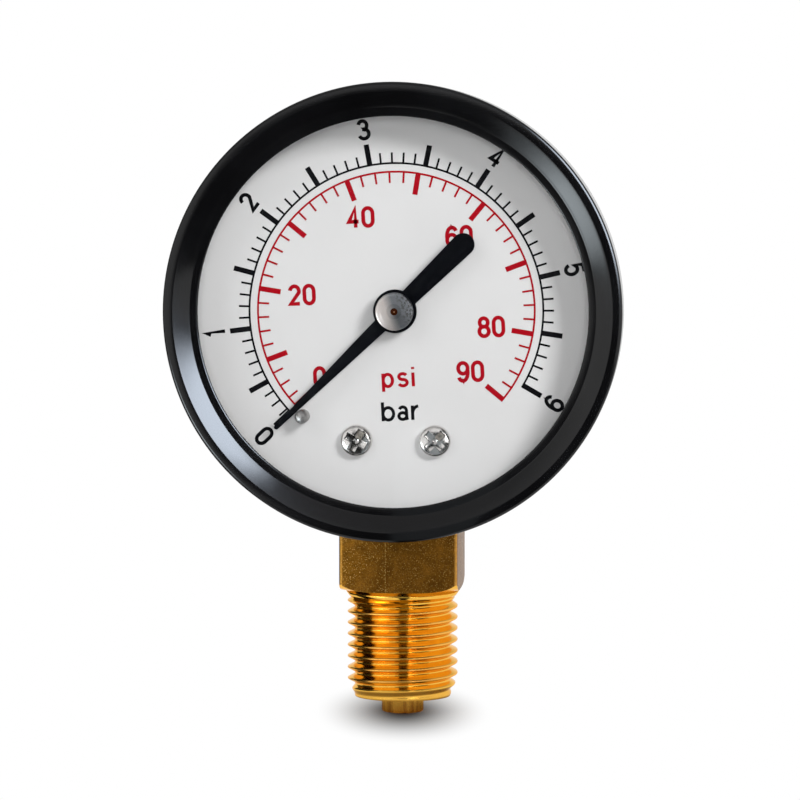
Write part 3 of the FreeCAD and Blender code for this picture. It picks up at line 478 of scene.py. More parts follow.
class Nodes:
    """A node tree under construction, with short calls for the nodes that it uses."""

    def __init__(self, tree, coordinates):
        self.tree = tree
        self.tree.nodes.clear()
        self.place = self.node("TexCoord").outputs[coordinates]

    def node(self, kind, inputs=None, **settings):
        """Adds a shader node; inputs are values or sockets by name or number."""
        made = self.tree.nodes.new("ShaderNode" + kind)
        for name, value in settings.items():
            setattr(made, name, value)
        for name, value in (inputs or {}).items():
            self.feed(made.inputs[name], value)
        return made

    def feed(self, socket, value):
        """Links a socket to another, or sets its number or colour."""
        if isinstance(value, bpy.types.NodeSocket):
            self.tree.links.new(value, socket)
        elif socket.type == "RGBA":
            socket.default_value = (*value[:3], 1.0)
        else:
            socket.default_value = value

    def split(self, vector=None):
        """The three parts of a vector, or of the place."""
        return self.node("SeparateXYZ", {"Vector": vector or self.place}).outputs

    def maths(self, operation, a, b=0.0, c=0.0):
        """One Math node."""
        return self.node("Math", {0: a, 1: b, 2: c}, operation=operation).outputs["Value"]

    def plus(self, a, b):
        """Sum of two values."""
        return self.maths("ADD", a, b)

    def times(self, a, b):
        """Product of two values."""
        return self.maths("MULTIPLY", a, b)

    def fit(self, value, low, high, to_low=0.0, to_high=1.0):
        """Value from one range fitted to another, and held within it."""
        return self.node("MapRange", {
            "Value": value, "From Min": low, "From Max": high,
            "To Min": to_low, "To Max": to_high}).outputs["Result"]

    def fade(self, value, low, high):
        """Smooth step from 0 to 1 over a range."""
        return self.node("MapRange", {"Value": value, "From Min": low, "From Max": high},
                         interpolation_type="SMOOTHSTEP").outputs["Result"]

    def seen_and_mirrored(self):
        """1 for rays from the camera, and 1 for rays off a mirror or through glass."""
        rays = self.node("LightPath").outputs
        mirrored = self.maths("MAXIMUM", rays["Is Glossy Ray"], rays["Is Transmission Ray"])
        return rays["Is Camera Ray"], mirrored


class Finish(Nodes):
    """A material under construction."""

    def __init__(self, name):
        self.material = bpy.data.materials.new(name)
        self.material.use_nodes = True
        super().__init__(self.material.node_tree, "Object")

    def noise(self, size, detail=2.0, roughness=0.5, vector=None):
        """Noise whose features are about a size across, in metres."""
        return self.node("TexNoise", {
            "Vector": vector or self.place, "Scale": 1 / size, "Detail": detail,
            "Roughness": roughness}).outputs["Fac"]

    def cells(self, size, output="Distance"):
        """Cells about a size across: the distance from their middles, or a colour for each."""
        return self.node("TexVoronoi", {
            "Vector": self.place, "Scale": 1 / size}).outputs[output]

    def stretched(self, x, y, z):
        """Place with each direction drawn out, for grain that runs one way."""
        return self.node("Mapping", {"Vector": self.place,
                                     "Scale": (1 / x, 1 / y, 1 / z)}).outputs["Vector"]

    def mix(self, factor, a, b, blend="MIX"):
        """Colour between a and b."""
        made = self.node("Mix", data_type="RGBA", blend_type=blend)
        for number, value in ((0, factor), (6, a), (7, b)):
            self.feed(made.inputs[number], value)
        return made.outputs[2]

    def bump(self, height, depth, strength):
        """Normal from a height of 0 to 1 over a depth in metres."""
        return self.node("Bump", {"Height": height, "Distance": depth,
                                  "Strength": strength}).outputs["Normal"]

    def distance(self, vector):
        """Length of a vector."""
        return self.node("VectorMath", {0: vector}, operation="LENGTH").outputs["Value"]

    def across(self, vector, axes):
        """A vector without its parts where axes has a 0."""
        return self.node("VectorMath", {0: vector, 1: axes},
                         operation="MULTIPLY").outputs["Vector"]

    def from_axis(self, x=0.0, z=0.0):
        """Distance of a point from a line along Y through (x, z) on the dial."""
        spot = self.node("VectorMath", {0: self.place, 1: (x, 0.0, DIAL_Z + z)},
                         operation="SUBTRACT").outputs["Vector"]
        return self.distance(self.across(spot, (1.0, 0.0, 1.0)))

    def from_stem(self):
        """Distance of a point from the stem's axis."""
        return self.distance(self.across(self.place, (1.0, 1.0, 0.0)))

    def shaded(self, inputs):
        """Ends the material in a Principled shader with these inputs."""
        return self.done(self.node("BsdfPrincipled", inputs).outputs["BSDF"])

    def done(self, shader):
        """Ends the material in a shader."""
        self.node("OutputMaterial", {"Surface": shader})
        return self.material


def scaled(colour, factor):
    """Colour made brighter or darker."""
    return tuple(channel * factor for channel in colour)


def enamel(name, paint, chip, speck):
    """Glossy stove enamel with a faint orange peel, dust and a few bare specks.

    Speck is a speck's radius as a share of a cell, and few cells have one.
    """
    finish = Finish(name)
    cloud = finish.noise(9 * MM, 3)
    peel = finish.noise(1.1 * MM, 2)
    dust = finish.noise(0.12 * MM, 2)
    cell = 2.6 * MM
    lot = finish.split(finish.cells(cell, "Color"))[0]
    near = finish.maths("LESS_THAN", finish.cells(cell), speck)
    rare = finish.maths("GREATER_THAN", lot, 0.965)
    bare = finish.times(near, rare)
    tint = finish.mix(finish.fit(cloud, 0.35, 0.7), paint, scaled(paint, 1.7))
    return finish.shaded({
        "Base Color": finish.mix(bare, tint, chip),
        "Roughness": finish.fit(finish.plus(cloud, finish.times(dust, 0.5)),
                                0.4, 1.1, 0.09, 0.19),
        "Normal": finish.bump(peel, 5e-6, 0.5),
        "Specular IOR Level": 0.35})


def window_glass():
    """Clear pane: what it mirrors over what lies behind it, with a few faint smudges."""
    finish = Finish("window_glass")
    smear = finish.noise(1.0, 4, 0.62, vector=finish.stretched(5 * MM, 5 * MM, 2.2 * MM))
    haze = finish.fit(smear, 0.55, 0.9, 0.0, 0.006)
    clear = finish.node("BsdfTransparent", {"Color": (0.995, 0.995, 0.995)}).outputs["BSDF"]
    gloss = finish.node("BsdfGlossy", {
        "Color": WHITE,
        "Roughness": finish.fit(smear, 0.4, 0.8, 0.02, 0.12)}).outputs["BSDF"]
    film = finish.node("BsdfDiffuse", {"Color": (0.75, 0.74, 0.72)}).outputs["BSDF"]
    outer_side = finish.maths("SUBTRACT", 1.0, finish.node("NewGeometry").outputs["Backfacing"])
    mirror = finish.times(finish.node("Fresnel", {"IOR": 1.45}).outputs["Fac"], outer_side)
    pane = finish.node("MixShader", {0: mirror, 1: clear, 2: gloss}).outputs["Shader"]
    return finish.done(finish.node("MixShader", {0: haze, 1: pane, 2: film}).outputs["Shader"])


def dial_paint(paint):
    """Satin white paint with a fine grain and a faint unevenness."""
    finish = Finish("dial_paint")
    cloud = finish.noise(11 * MM, 3)
    grain = finish.noise(0.16 * MM, 3, 0.7)
    speck = finish.maths("LESS_THAN", finish.cells(3.1 * MM), 0.022)
    tint = finish.mix(finish.fit(cloud, 0.3, 0.7), paint, scaled(paint, 0.955))
    tint = finish.mix(finish.times(speck, 0.35), tint, scaled(paint, 0.55))
    return finish.shaded({
        "Base Color": finish.mix(finish.fit(grain, 0.3, 0.7, 0.0, 0.22), tint,
                                 scaled(paint, 0.9)),
        "Roughness": finish.fit(grain, 0.3, 0.7, 0.42, 0.58),
        "Normal": finish.bump(grain, 3e-6, 0.35)})


def ink(name, tint, worn):
    """Screen-printed ink, a little thinner in places."""
    finish = Finish(name)
    grain = finish.noise(0.13 * MM, 3, 0.65)
    cloud = finish.noise(6 * MM, 2)
    thin = finish.times(finish.fit(grain, 0.42, 0.72), finish.fit(cloud, 0.45, 0.7))
    return finish.shaded({
        "Base Color": finish.mix(thin, tint, worn),
        "Roughness": finish.fit(grain, 0.3, 0.7, 0.4, 0.6),
        "Normal": finish.bump(grain, 4e-6, 0.4),
        "Specular IOR Level": 0.1})


def plated(name, metal, roughness, mottle=0.0, grime=0.25):
    """Bright plated or bare metal with fine scratches and darker stains."""
    finish = Finish(name)
    scratch = finish.noise(1.0, 3, 0.6, vector=finish.stretched(0.05 * MM, 0.4 * MM, 0.9 * MM))
    cloud = finish.noise(0.55 * MM, 4, 0.65)
    stain = finish.fit(cloud, 0.5, 0.68, 0.0, grime)
    return finish.shaded({
        "Base Color": finish.mix(stain, metal, scaled(metal, 0.3)),
        "Metallic": 1.0,
        "Roughness": finish.fit(finish.plus(scratch, cloud), 0.7, 1.3,
                                roughness * 0.7, roughness * 1.5 + mottle),
        "Normal": finish.bump(finish.plus(scratch, finish.times(cloud, mottle * 8)),
                              4e-6, 0.5)})


def turned_metal(name, metal, middle_radius):
    """Metal faced on a lathe: rings about the dial's axis, a duller middle, dark stains and a painted
    reflection.
    """
    finish = Finish(name)
    reach = finish.from_axis()
    rings = finish.noise(1.0, 4, 0.75, vector=finish.node(
        "CombineXYZ", {"X": finish.times(reach, 1 / (0.07 * MM))}).outputs["Vector"])
    inner = finish.maths("LESS_THAN", reach, middle_radius)
    speck = finish.noise(0.30 * MM, 3, 0.6)
    stain = finish.fit(speck, 0.50, 0.58, 0.0, 0.9)
    x, _, z = finish.split()
    lean = finish.plus(x, finish.times(finish.maths("SUBTRACT", z, DIAL_Z), 0.35))
    side = finish.fit(lean, 0.5 * MM, 1.5 * MM)
    tint = finish.mix(finish.times(inner, 0.45), metal, scaled(metal, 0.55))
    # Painted reflection: the face is tinted pale pinkish on its left and darker blue-grey on its right.
    painted_reflection = finish.mix(finish.fit(lean, -0.9 * MM, 0.2 * MM), (1.0, 0.94, 0.92),
                       (0.38, 0.41, 0.45))
    tint = finish.mix(1.0, tint, painted_reflection, "MULTIPLY")
    return finish.shaded({
        "Base Color": finish.mix(finish.times(stain, side), tint, scaled(metal, 0.14)),
        "Metallic": 1.0,
        "Roughness": finish.fit(rings, 0.3, 0.7, 0.24, 0.44),
        "Normal": finish.bump(rings, 7e-6, 0.55)})


def pointer_paint(paint):
    """Matt black paint with fine dust."""
    finish = Finish("pointer_paint")
    grain = finish.noise(0.09 * MM, 3, 0.7)
    cloud = finish.noise(1.6 * MM, 3)
    dust = finish.times(finish.fit(grain, 0.62, 0.8), finish.fit(cloud, 0.4, 0.7))
    return finish.shaded({
        "Base Color": finish.mix(finish.times(dust, 0.5), paint, (0.04, 0.04, 0.05)),
        "Roughness": finish.fit(grain, 0.3, 0.7, 0.4, 0.6),
        "Normal": finish.bump(grain, 6e-6, 0.5),
        "Specular IOR Level": 0.08})


def turned_brass(sizes):
    """Brass turned on a lathe: fine rings round the stem, burrs on the crests, tarnish."""
    finish = Finish("turned_brass")
    brass = sizes.brass
    x, y, z = finish.split()
    across = 1 / (5 * MM)
    lines = finish.noise(1.0, 3, 0.7, finish.node("CombineXYZ", {
        "X": finish.times(z, 1 / (0.09 * MM)), "Y": finish.times(x, across),
        "Z": finish.times(y, across)}).outputs["Vector"])
    fine = finish.noise(0.10 * MM, 3, 0.7)
    cloud = finish.noise(1.7 * MM, 4, 0.6)
    near_crest, on_crest = sizes.crest - 0.05 * MM, sizes.crest - 0.005 * MM
    crest = finish.times(finish.fit(finish.from_stem(), near_crest, on_crest),
                         finish.maths("LESS_THAN", z, sizes.threaded + 0.1 * MM))
    start = finish.fit(z, 1.1 * MM, 0.3 * MM)
    streak = finish.noise(1.0, 2, 0.5, finish.stretched(1.1 * MM, 1.1 * MM, 30 * MM))
    patch = finish.mix(finish.fit(z, 0.1 * MM, -0.1 * MM),
                       finish.fit(fine, 0.42, 0.62, 0.0, 0.25),
                       finish.fit(streak, 0.46, 0.56, 0.0, 0.85))
    tint = finish.mix(finish.fit(cloud, 0.38, 0.7, 0.0, 0.55), brass,
                      (brass[0] * 0.88, brass[1] * 0.78, brass[2] * 0.6))
    tint = finish.mix(finish.times(crest, 0.7), tint, sizes.crest_brass)
    tint = finish.mix(finish.times(start, patch), tint, sizes.tarnish)
    rough = finish.plus(finish.fit(fine, 0.3, 0.7, 0.10, 0.20),
                        finish.times(finish.maths("MAXIMUM", crest, start), 0.12))
    burr = finish.times(finish.times(fine, crest), 2.0)
    height = finish.plus(finish.plus(lines, burr), finish.times(fine, 0.5))
    return finish.shaded({
        "Base Color": tint,
        "Metallic": 1.0,
        "Specular Tint": (0.97, 0.82, 0.62),
        "Roughness": rough,
        "Normal": finish.bump(height, 6e-6, 0.45)})


def milled_brass(sizes):
    """Drawn and milled brass of the square: coarse grain with painted sparkle glints, scratches,
    tarnish.
    """
    finish = Finish("milled_brass")
    brass = sizes.milled
    grain = finish.noise(0.11 * MM, 4, 0.8)
    drag = finish.noise(1.0, 4, 0.7, finish.stretched(0.9 * MM, 0.9 * MM, 0.1 * MM))
    cloud = finish.noise(2.2 * MM, 4, 0.65)
    spark = finish.split(finish.cells(0.065 * MM, "Color"))[0]
    # Painted highlights: random grains take a bright colour as sparkle glints; the scratch below is
    # real wear in the same colour.
    lit = finish.times(finish.maths("GREATER_THAN", spark, 0.95),
                       finish.fit(cloud, 0.4, 0.6, 0.15, 0.8))
    x, y, _ = finish.split()
    scratch_x, scratch_half_width = -1.5 * MM, 0.035 * MM
    from_scratch = finish.maths("ABSOLUTE", finish.plus(x, -scratch_x))
    scratch = finish.times(finish.maths("LESS_THAN", from_scratch, scratch_half_width),
                           finish.fit(drag, 0.46, 0.6))
    glint_and_scratch = finish.maths("MAXIMUM", lit, finish.times(scratch, 0.8))
    tint = finish.mix(finish.fit(cloud, 0.35, 0.65), brass, scaled(brass, 0.5))
    tint = finish.mix(finish.fit(grain, 0.4, 0.62, 0.0, 0.75), tint, scaled(brass, 0.22))
    corner = finish.maths("MINIMUM", finish.maths("ABSOLUTE", x), finish.maths("ABSOLUTE", y))
    worn = finish.times(
        finish.fit(corner, SQUARE_HALF - 0.4 * MM, SQUARE_HALF - 0.15 * MM),
        finish.fit(drag, 0.3, 0.55, 0.35, 0.9))
    tint = finish.mix(worn, tint, sizes.worn_edge)
    return finish.shaded({
        "Base Color": finish.mix(glint_and_scratch, tint, sizes.spark),
        "Metallic": 1.0,
        "Roughness": finish.fit(finish.plus(grain, drag), 0.6, 1.4, 0.26, 0.55),
        "Normal": finish.bump(finish.plus(finish.times(grain, 1.2), drag), 2e-5, 0.8)})


def bare_metal(name, metal, roughness, grain_size=0.3 * MM):
    """Rolled or drawn metal with a soft grain and a little tarnish."""
    finish = Finish(name)
    grain = finish.noise(1.0, 3, 0.6, vector=finish.stretched(
        grain_size * 6, grain_size, grain_size))
    cloud = finish.noise(2.2 * MM, 3)
    return finish.shaded({
        "Base Color": finish.mix(finish.fit(cloud, 0.35, 0.75, 0.0, 0.6), metal,
                                 scaled(metal, 0.68)),
        "Metallic": 1.0,
        "Roughness": finish.fit(grain, 0.3, 0.7, roughness * 0.75, roughness * 1.35),
        "Normal": finish.bump(grain, 5e-6, 0.5)})


def arbor_metal(steel, nose):
    """Steel arbor whose front end is brown brass, with a painted copper glint at its middle."""
    finish = Finish("arbor_metal")
    grain = finish.noise(0.12 * MM, 3, 0.6)
    depth = finish.split()[1]
    forward = finish.fit(depth, DIAL_FACE_Y - 1.2 * MM, DIAL_FACE_Y - 1.6 * MM)
    # Painted highlight: a small bright copper spot on the arbor's axis.
    painted_glint = finish.fit(finish.from_axis(0.02 * MM, -0.02 * MM), 0.11 * MM, 0.05 * MM)
    tip = finish.mix(painted_glint, nose, (0.75, 0.36, 0.20))
    return finish.shaded({
        "Base Color": finish.mix(forward, finish.mix(finish.fit(grain, 0.3, 0.7), steel,
                                                     scaled(steel, 0.7)), tip),
        "Metallic": 1.0,
        "Roughness": finish.fit(grain, 0.3, 0.7, 0.22, 0.45),
        "Normal": finish.bump(grain, 8e-6, 0.5)})


def rubber(tint):
    """Matt gasket rubber."""
    finish = Finish("gasket_rubber")
    grain = finish.noise(0.2 * MM, 3, 0.6)
    return finish.shaded({
        "Base Color": finish.mix(grain, tint, scaled(tint, 1.8)),
        "Roughness": finish.fit(grain, 0.3, 0.7, 0.6, 0.85),
        "Normal": finish.bump(grain, 1e-5, 0.5)})


# ------------------------------------------------------------------ case, ring and window

class GAUGE_OT_case(Operator):
    """Drawn steel cup with a rounded back, an opening for the square and two screw holes"""
    bl_idname = "gauge.case"
    bl_label = "Case"

    def execute(self, context):
        gauge = context.scene.gauge
        sizes = gauge.case
        outer = radius_of("window_gasket") + sizes.gasket_inset
        rim, rear = front("case"), back("case")
        inner = outer - sizes.wall
        bend = sizes.back_rounding
        outline = rounded([
            (outer, rim, sizes.rim_rounding), (outer, rear, bend), (0, rear),
            (0, rear - sizes.wall), (inner, rear - sizes.wall, bend - sizes.wall),
            (inner, rim, sizes.rim_rounding)], 8)
        cup = turned_piece("case_cup", outline, about_dial(), gauge.facets)
        reach = SQUARE_HALF + sizes.opening_play
        cutter = bmesh.new()
        below = DIAL_Z - 1.1 * outer
        box(cutter, (-reach, -reach, below), (reach, reach, DIAL_Z))
        tools = [solid("opening", cutter)]
        hole = gauge.screws.case_shank + gauge.screws.hole_play
        tools += [bore(place, hole, 0, 2 * rear)
                  for place in screw_places("case_screws", gauge.screws.case_head)]
        combine(cup, "DIFFERENCE", tools)
        paint = enamel("case_enamel", sizes.enamel, sizes.chip, speck=0.05)
        dress(cup, "gauge", [paint], ["case"])
        return {"FINISHED"}


class GAUGE_OT_ring(Operator):
    """Pressed ring with a rolled lip, a dished face, a flat crest and a skirt"""
    bl_idname = "gauge.ring"
    bl_label = "Ring"

    def execute(self, context):
        gauge = context.scene.gauge
        sizes = gauge.case
        outer = radius_of("bezel_ring")
        crest, skirt_end = front("bezel_ring"), back("bezel_ring")
        inside = outer - sizes.ring_wall
        opening = outer - sizes.ring_width
        lip = crest + sizes.dish_depth
        seat = front("window")
        low_end = Vector((opening + sizes.lip_width, lip))
        high_end = Vector((outer - sizes.crest_land, crest))
        along = (high_end - low_end).normalized()
        bend = (low_end + high_end) / 2 + sizes.dish_bulge * Vector((along.y, -along.x))
        outline = rounded([
            (opening, lip + sizes.lip_fall, sizes.lip_rounding), (*low_end, sizes.fold),
            (*bend, sizes.dish_rounding), (*high_end, sizes.fold),
            (outer, crest, sizes.crest_rounding),
            (outer, skirt_end, sizes.skirt_rounding), (inside, skirt_end, sizes.skirt_rounding),
            (inside, seat), (opening, seat, sizes.lip_rounding)], 9)
        ring = turned_piece("closing_ring", outline, about_dial(), gauge.facets)
        paint = enamel("ring_enamel", sizes.enamel, sizes.chip, speck=0.045)
        dress(ring, "gauge", [paint], ["bezel_ring"])
        return {"FINISHED"}


class GAUGE_OT_window(Operator):
    """Clear window and its gasket, which keep the frame's shapes"""
    bl_idname = "gauge.window"
    bl_label = "Window and gasket"

    def execute(self, context):
        gauge = context.scene.gauge
        repaint("window", window_glass())
        repaint("window_gasket", rubber(gauge.movement.rubber))
        return {"FINISHED"}


def repaint(node, finish):
    """Gives a node of the frame another material."""
    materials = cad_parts[node].data.materials
    materials.clear()
    materials.append(finish)


# ------------------------------------------------------------------ dial and print

def ribbon(bm, points, width, low, high, put, closed=False):
    """Flat stroke of a width along points, as a thin solid between two depths."""
    count = len(points)
    sides = []
    for index, (u, v) in enumerate(points):
        here = Vector((u, v))
        before = Vector(points[index - 1]) if index or closed else None
        after = Vector(points[(index + 1) % count]) if index < count - 1 or closed else None
        into = (here - before).normalized() if before is not None else None
        out = (after - here).normalized() if after is not None else None
        into = into or out
        out = out or into
        along = (into + out).normalized()
        across = Vector((-along.y, along.x))
        reach = width / 2 / max(0.5, along.dot(into))
        sides.append((here - across * reach, here + across * reach))
    spans = count if closed else count - 1
    rings = [[bm.verts.new(put(side.x, side.y, depth)) for side in pair for depth in (low, high)]
             for pair in sides]
    for index in range(spans):
        near, far = rings[index], rings[(index + 1) % count]
        for a, b in ((0, 1), (1, 3), (3, 2), (2, 0)):
            bm.faces.new((near[a], near[b], far[b], far[a]))
    if not closed:
        for ring in (rings[0], rings[-1]):
            bm.faces.new((ring[0], ring[1], ring[3], ring[2]))


def bowl(centre, radius):
    """Closed round stroke."""
    return arc(centre, radius, 90, 450, 28)[:-1], True


# Strokes of each sign, in a box one wide and one high, as (points, closed).
SIX = [
    bowl((0.5, 0.3), (0.5, 0.3)),
    (arc((0.54, 0.68), (0.46, 0.32), 22, 90, 7) + arc((0.54, 0.5), (0.54, 0.5), 90, 200, 12),
     False)]
SIGNS = {
    "0": [(arc((0.5, 0.7), (0.5, 0.3), 0, 180) + arc((0.5, 0.3), (0.5, 0.3), 180, 360), True)],
    "1": [([(0.18, 0.76), (0.62, 1.06), (0.62, -0.06)], False)],
    "2": [(arc((0.5, 0.72), (0.48, 0.28), 172, -18, 14) + [(0.06, 0.02), (1.02, 0.02)], False)],
    "3": [(arc((0.48, 0.75), (0.44, 0.25), 165, -75, 14) + arc(
        (0.48, 0.27), (0.52, 0.27), 82, -165, 16), False),
          ([(0.34, 0.53), (0.6, 0.53)], False)],
    "4": [([(0.70, -0.06), (0.70, 1.0), (0.0, 0.27), (1.04, 0.27)], False)],
    "5": [([(0.94, 1.0), (0.18, 1.0), (0.08, 0.52)] + arc(
        (0.48, 0.33), (0.50, 0.33), 128, -162, 18), False)],
    "6": SIX,
    "8": [bowl((0.5, 0.76), (0.43, 0.24)), bowl((0.5, 0.27), (0.5, 0.27))],
    "9": [([(1 - u, 1 - v) for u, v in points], closed) for points, closed in SIX],
    "p": [([(0.0, 1.08), (0.0, -0.42)], False), bowl((0.48, 0.5), (0.48, 0.5))],
    "s": [(arc((0.5, 0.76), (0.44, 0.24), 25, 255, 14) + arc(
        (0.5, 0.26), (0.48, 0.26), 75, -160, 14), False)],
    "i": [([(0.5, 1.06), (0.5, -0.08)], False), ([(0.5, 1.34), (0.5, 1.52)], False)],
    "b": [([(0.0, 1.45), (0.0, -0.08)], False), bowl((0.5, 0.5), (0.5, 0.5))],
    "a": [(arc((0.48, 0.7), (0.42, 0.3), 155, 0, 12) + [(0.9, 0.12), (0.98, -0.06)], False),
          bowl((0.45, 0.27), (0.45, 0.27))],
    "r": [([(0.0, 1.08), (0.0, -0.08)], False),
          (arc((1.0, 0.4), (1.0, 0.62), 176, 92, 9), False)],
}


def on_dial_face(u, v, height):
    """Place on the dial at a height above its face."""
    return Vector((u, DIAL_FACE_Y - height, DIAL_Z + v))


# Width of each sign as a share of its height; "" is for the signs not named.
NUMERAL_WIDTHS = {"": 0.61, "1": 0.42}
UNIT_WIDTHS = {"": 0.8, "p": 0.84, "s": 0.78, "i": 0.25, "b": 0.89, "a": 0.76, "r": 0.6}


def write(bm, text, centre, up, ink_height, shares, height, pen, gap=0.0):
    """Writes signs about a centre, with up as a turn in radians from straight up."""
    widths = [shares.get(sign, shares[""]) * height for sign in text]
    total = sum(widths) + gap * (len(text) - 1)
    left = -total / 2
    cos, sin = math.cos(up), math.sin(up)
    for sign, width in zip(text, widths):
        inner_width, inner_height = width - pen, height - pen
        for lift, (points, closed) in enumerate(SIGNS[sign]):
            placed = []
            for u, v in points:
                across = left + pen / 2 + u * inner_width
                along = -height / 2 + pen / 2 + v * inner_height
                placed.append((centre[0] + across * cos - along * sin,
                               centre[1] + across * sin + along * cos))
            ribbon(bm, placed, pen, 0.0, ink_height * (1 + 0.15 * lift), on_dial_face, closed)
        left += width + gap


def clockwise(radius, turn):
    """Place on the dial at a radius and an angle clockwise from six o'clock."""
    return (-radius * math.sin(turn), -radius * math.cos(turn))


def scale_marks(bm, sizes, radius, minor_end, major_end, marks):
    """Line of a scale and its marks, which are (turn, bold) from its start to its end."""
    steps = 160
    start, end = marks[0][0], marks[-1][0]
    points = [clockwise(radius, start + (end - start) * k / steps) for k in range(steps + 1)]
    ribbon(bm, points, sizes.line, 0.0, sizes.print_height, on_dial_face)
    edge = radius - math.copysign(sizes.line / 2, major_end - radius)
    for turn, bold in marks:
        inner, outer = sorted((edge, major_end if bold else minor_end))
        ribbon(bm, [clockwise(inner, turn), clockwise(outer, turn)],
               sizes.bold_mark if bold else sizes.fine_mark, 0.0, sizes.print_height * 1.2,
               on_dial_face)


# Middles (x, z) of the upright words and numbers, in millimetres from the dial's centre.
BAR_UNIT_PLACE = (0.57, -12.0)
PSI_UNIT_PLACE = (0.27, -8.1)
PSI_PLACES = {"0": (-8.95, -7.8), "20": (-11.04, 1.80), "40": (-4.14, 10.88),
              "60": (7.36, 8.71), "80": (11.13, -1.85), "90": (8.70, -7.08)}


def in_mm(place):
    """A place given in millimetres, in metres."""
    return (place[0] * MM, place[1] * MM)


class GAUGE_OT_dial(Operator):
    """Painted dial plate, which keeps the frame's shape, and its two printed scales"""
    bl_idname = "gauge.dial"
    bl_label = "Dial"

    def execute(self, context):
        sizes = context.scene.gauge.dial
        repaint("dial_plate", dial_paint(sizes.paint))
        self.bar_scale(sizes)
        self.psi_scale(sizes)
        return {"FINISHED"}

    def bar_scale(self, sizes):
        """Outer scale, 0 to 6 bar, bold every half and fine every tenth."""
        bm = bmesh.new()
        last = 6
        first_tenth = 2  # The tenth before it would fall short of the scale's start.
        marks = [(sizes.bar_zero + tenth / 10 * sizes.bar_step, tenth % 5 == 0)
                 for tenth in range(first_tenth, last * 10 + 1)]
        scale_marks(bm, sizes, sizes.bar_arc, sizes.bar_minor_end, sizes.bar_major_end,
                    [(sizes.start, True), *marks])
        for numeral in range(last + 1):
            turn = sizes.bar_zero + numeral * sizes.bar_step if numeral else sizes.start
            upside_down = math.pi if numeral == last else 0.0
            write(bm, str(numeral), clockwise(sizes.numeral_radius, turn),
                  math.pi - turn + upside_down, sizes.print_height, NUMERAL_WIDTHS,
                  sizes.bar_numeral, sizes.bar_pen)
        write(bm, "bar", in_mm(BAR_UNIT_PLACE), sizes.tilt, sizes.print_height, UNIT_WIDTHS,
              sizes.bar_unit, sizes.bar_unit_pen, sizes.bar_unit_gap)
        piece = solid("bar_scale_print", bm)
        dress(piece, "gauge", [ink("black_ink", sizes.black, sizes.black_worn)])

    def psi_scale(self, sizes):
        """Inner scale, 0 to 90 psi, bold every ten and fine every two."""
        bm = bmesh.new()
        last = 90
        first_mark = 4  # The one before it would fall short of the scale's start.
        marks = [(sizes.psi_zero + value / 10 * sizes.psi_step, value % 10 == 0)
                 for value in range(first_mark, last + 1, 2)]
        scale_marks(bm, sizes, sizes.psi_arc, sizes.psi_minor_end, sizes.psi_major_end,
                    [(sizes.start, True), *marks])
        for text, place in PSI_PLACES.items():
            write(bm, text, in_mm(place), sizes.tilt, sizes.print_height, NUMERAL_WIDTHS,
                  sizes.psi_numeral, sizes.psi_pen, sizes.psi_gap)
        write(bm, "psi", in_mm(PSI_UNIT_PLACE), sizes.tilt, sizes.print_height, UNIT_WIDTHS,
              sizes.psi_unit, sizes.psi_unit_pen, sizes.psi_unit_gap)
        piece = solid("psi_scale_print", bm)
        dress(piece, "gauge", [ink("red_ink", sizes.red, sizes.red_worn)])


# ------------------------------------------------------------------ screws and stop pin

def screw_places(node, head):
    """Places (x, z) on the dial of the two screws of a node, from their heads' radius."""
    low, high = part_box(node)
    z = (low.z + high.z) / 2 - DIAL_Z
    reach = high.x - head
    return [(-reach, z), (reach, z)]


def bore(place, radius, start, end, steps=32):
    """Round cutter along Y through a place on the dial."""
    return turned_piece("bore", [(0, start), (radius, start), (radius, end), (0, end)],
                        about_dial(*place), steps)


# A pan-head screw: its place on the dial, the Y of its seat, -1 where it faces the front and 1
# where it faces the back, its head's radius and height, its shank's radius and depth, and the
# turn of its cross recess.
Screw = namedtuple("Screw", "place seat facing head height shank depth turn")
# Its heights, as shares of the head's height.
CROWN_FALL = 0.2
EDGE_HEIGHT = 0.78
EDGE_ROUNDING = 0.36
RECESS_FLOOR = 0.62
CUTTER_TOP = 1.2
PIT_RISE = 0.1
PIT_FALL = 0.22
# Its radii, as shares of the head's radius.
CROWN_REACH = 0.82
RECESS_REACH = 0.73
RECESS_HALF_WIDTH = 0.235
PIT_RADIUS = 0.22
PIT_FLOOR_RADIUS = 0.19
# Where the recess has its own finishes: shares of the head's radius, and how far it is sunk.
DULL_FROM = 0.2
DULL_TO = 0.8
DULL_BELOW = 0.06 * MM
# How much wider the cross is at the top and narrower at the floor.
RECESS_FLARE = 1.06
RECESS_TAPER = 0.92
UNDERSIDE_ROUNDING = 0.08 * MM
# The ribs that stand for its thread, as shares of their pitch and of the shank's radius.
RIB_START = 0.25
RIB_FLANK = 0.45
RIB_PITCH = 0.4
RIB_ROOT = 0.84
SHANK_TIP = 0.7
# Turns of the case screws' crosses, in radians.
CASE_SCREW_TURNS = (0.4, 1.1)


def crown_y(screw, reach):
    """Y of the head's domed crown at a share of its radius."""
    return screw.seat + screw.facing * screw.height * (1 - CROWN_FALL * reach ** 2)


def screw_outline(screw):
    """Half section of a pan-head screw with a ribbed shank."""
    _, seat, facing, head, height, shank, depth, _ = screw
    steps = 9
    dome = [(head * reach, crown_y(screw, reach))
            for reach in (k / steps * CROWN_REACH for k in range(steps + 1))]
    outline = dome[:-1] + rounded([
        dome[-1], (head, seat + facing * height * EDGE_HEIGHT, height * EDGE_ROUNDING),
        (head, seat, UNDERSIDE_ROUNDING), (shank, seat)])
    pitch = RIB_PITCH * shank
    for k in range(int(depth / pitch)):
        y = seat - facing * (k + RIB_START) * pitch
        outline += [(shank * RIB_ROOT, y), (shank, y - facing * RIB_FLANK * pitch)]
    end = seat - facing * depth
    return outline + [(shank * SHANK_TIP, end), (0, end)]


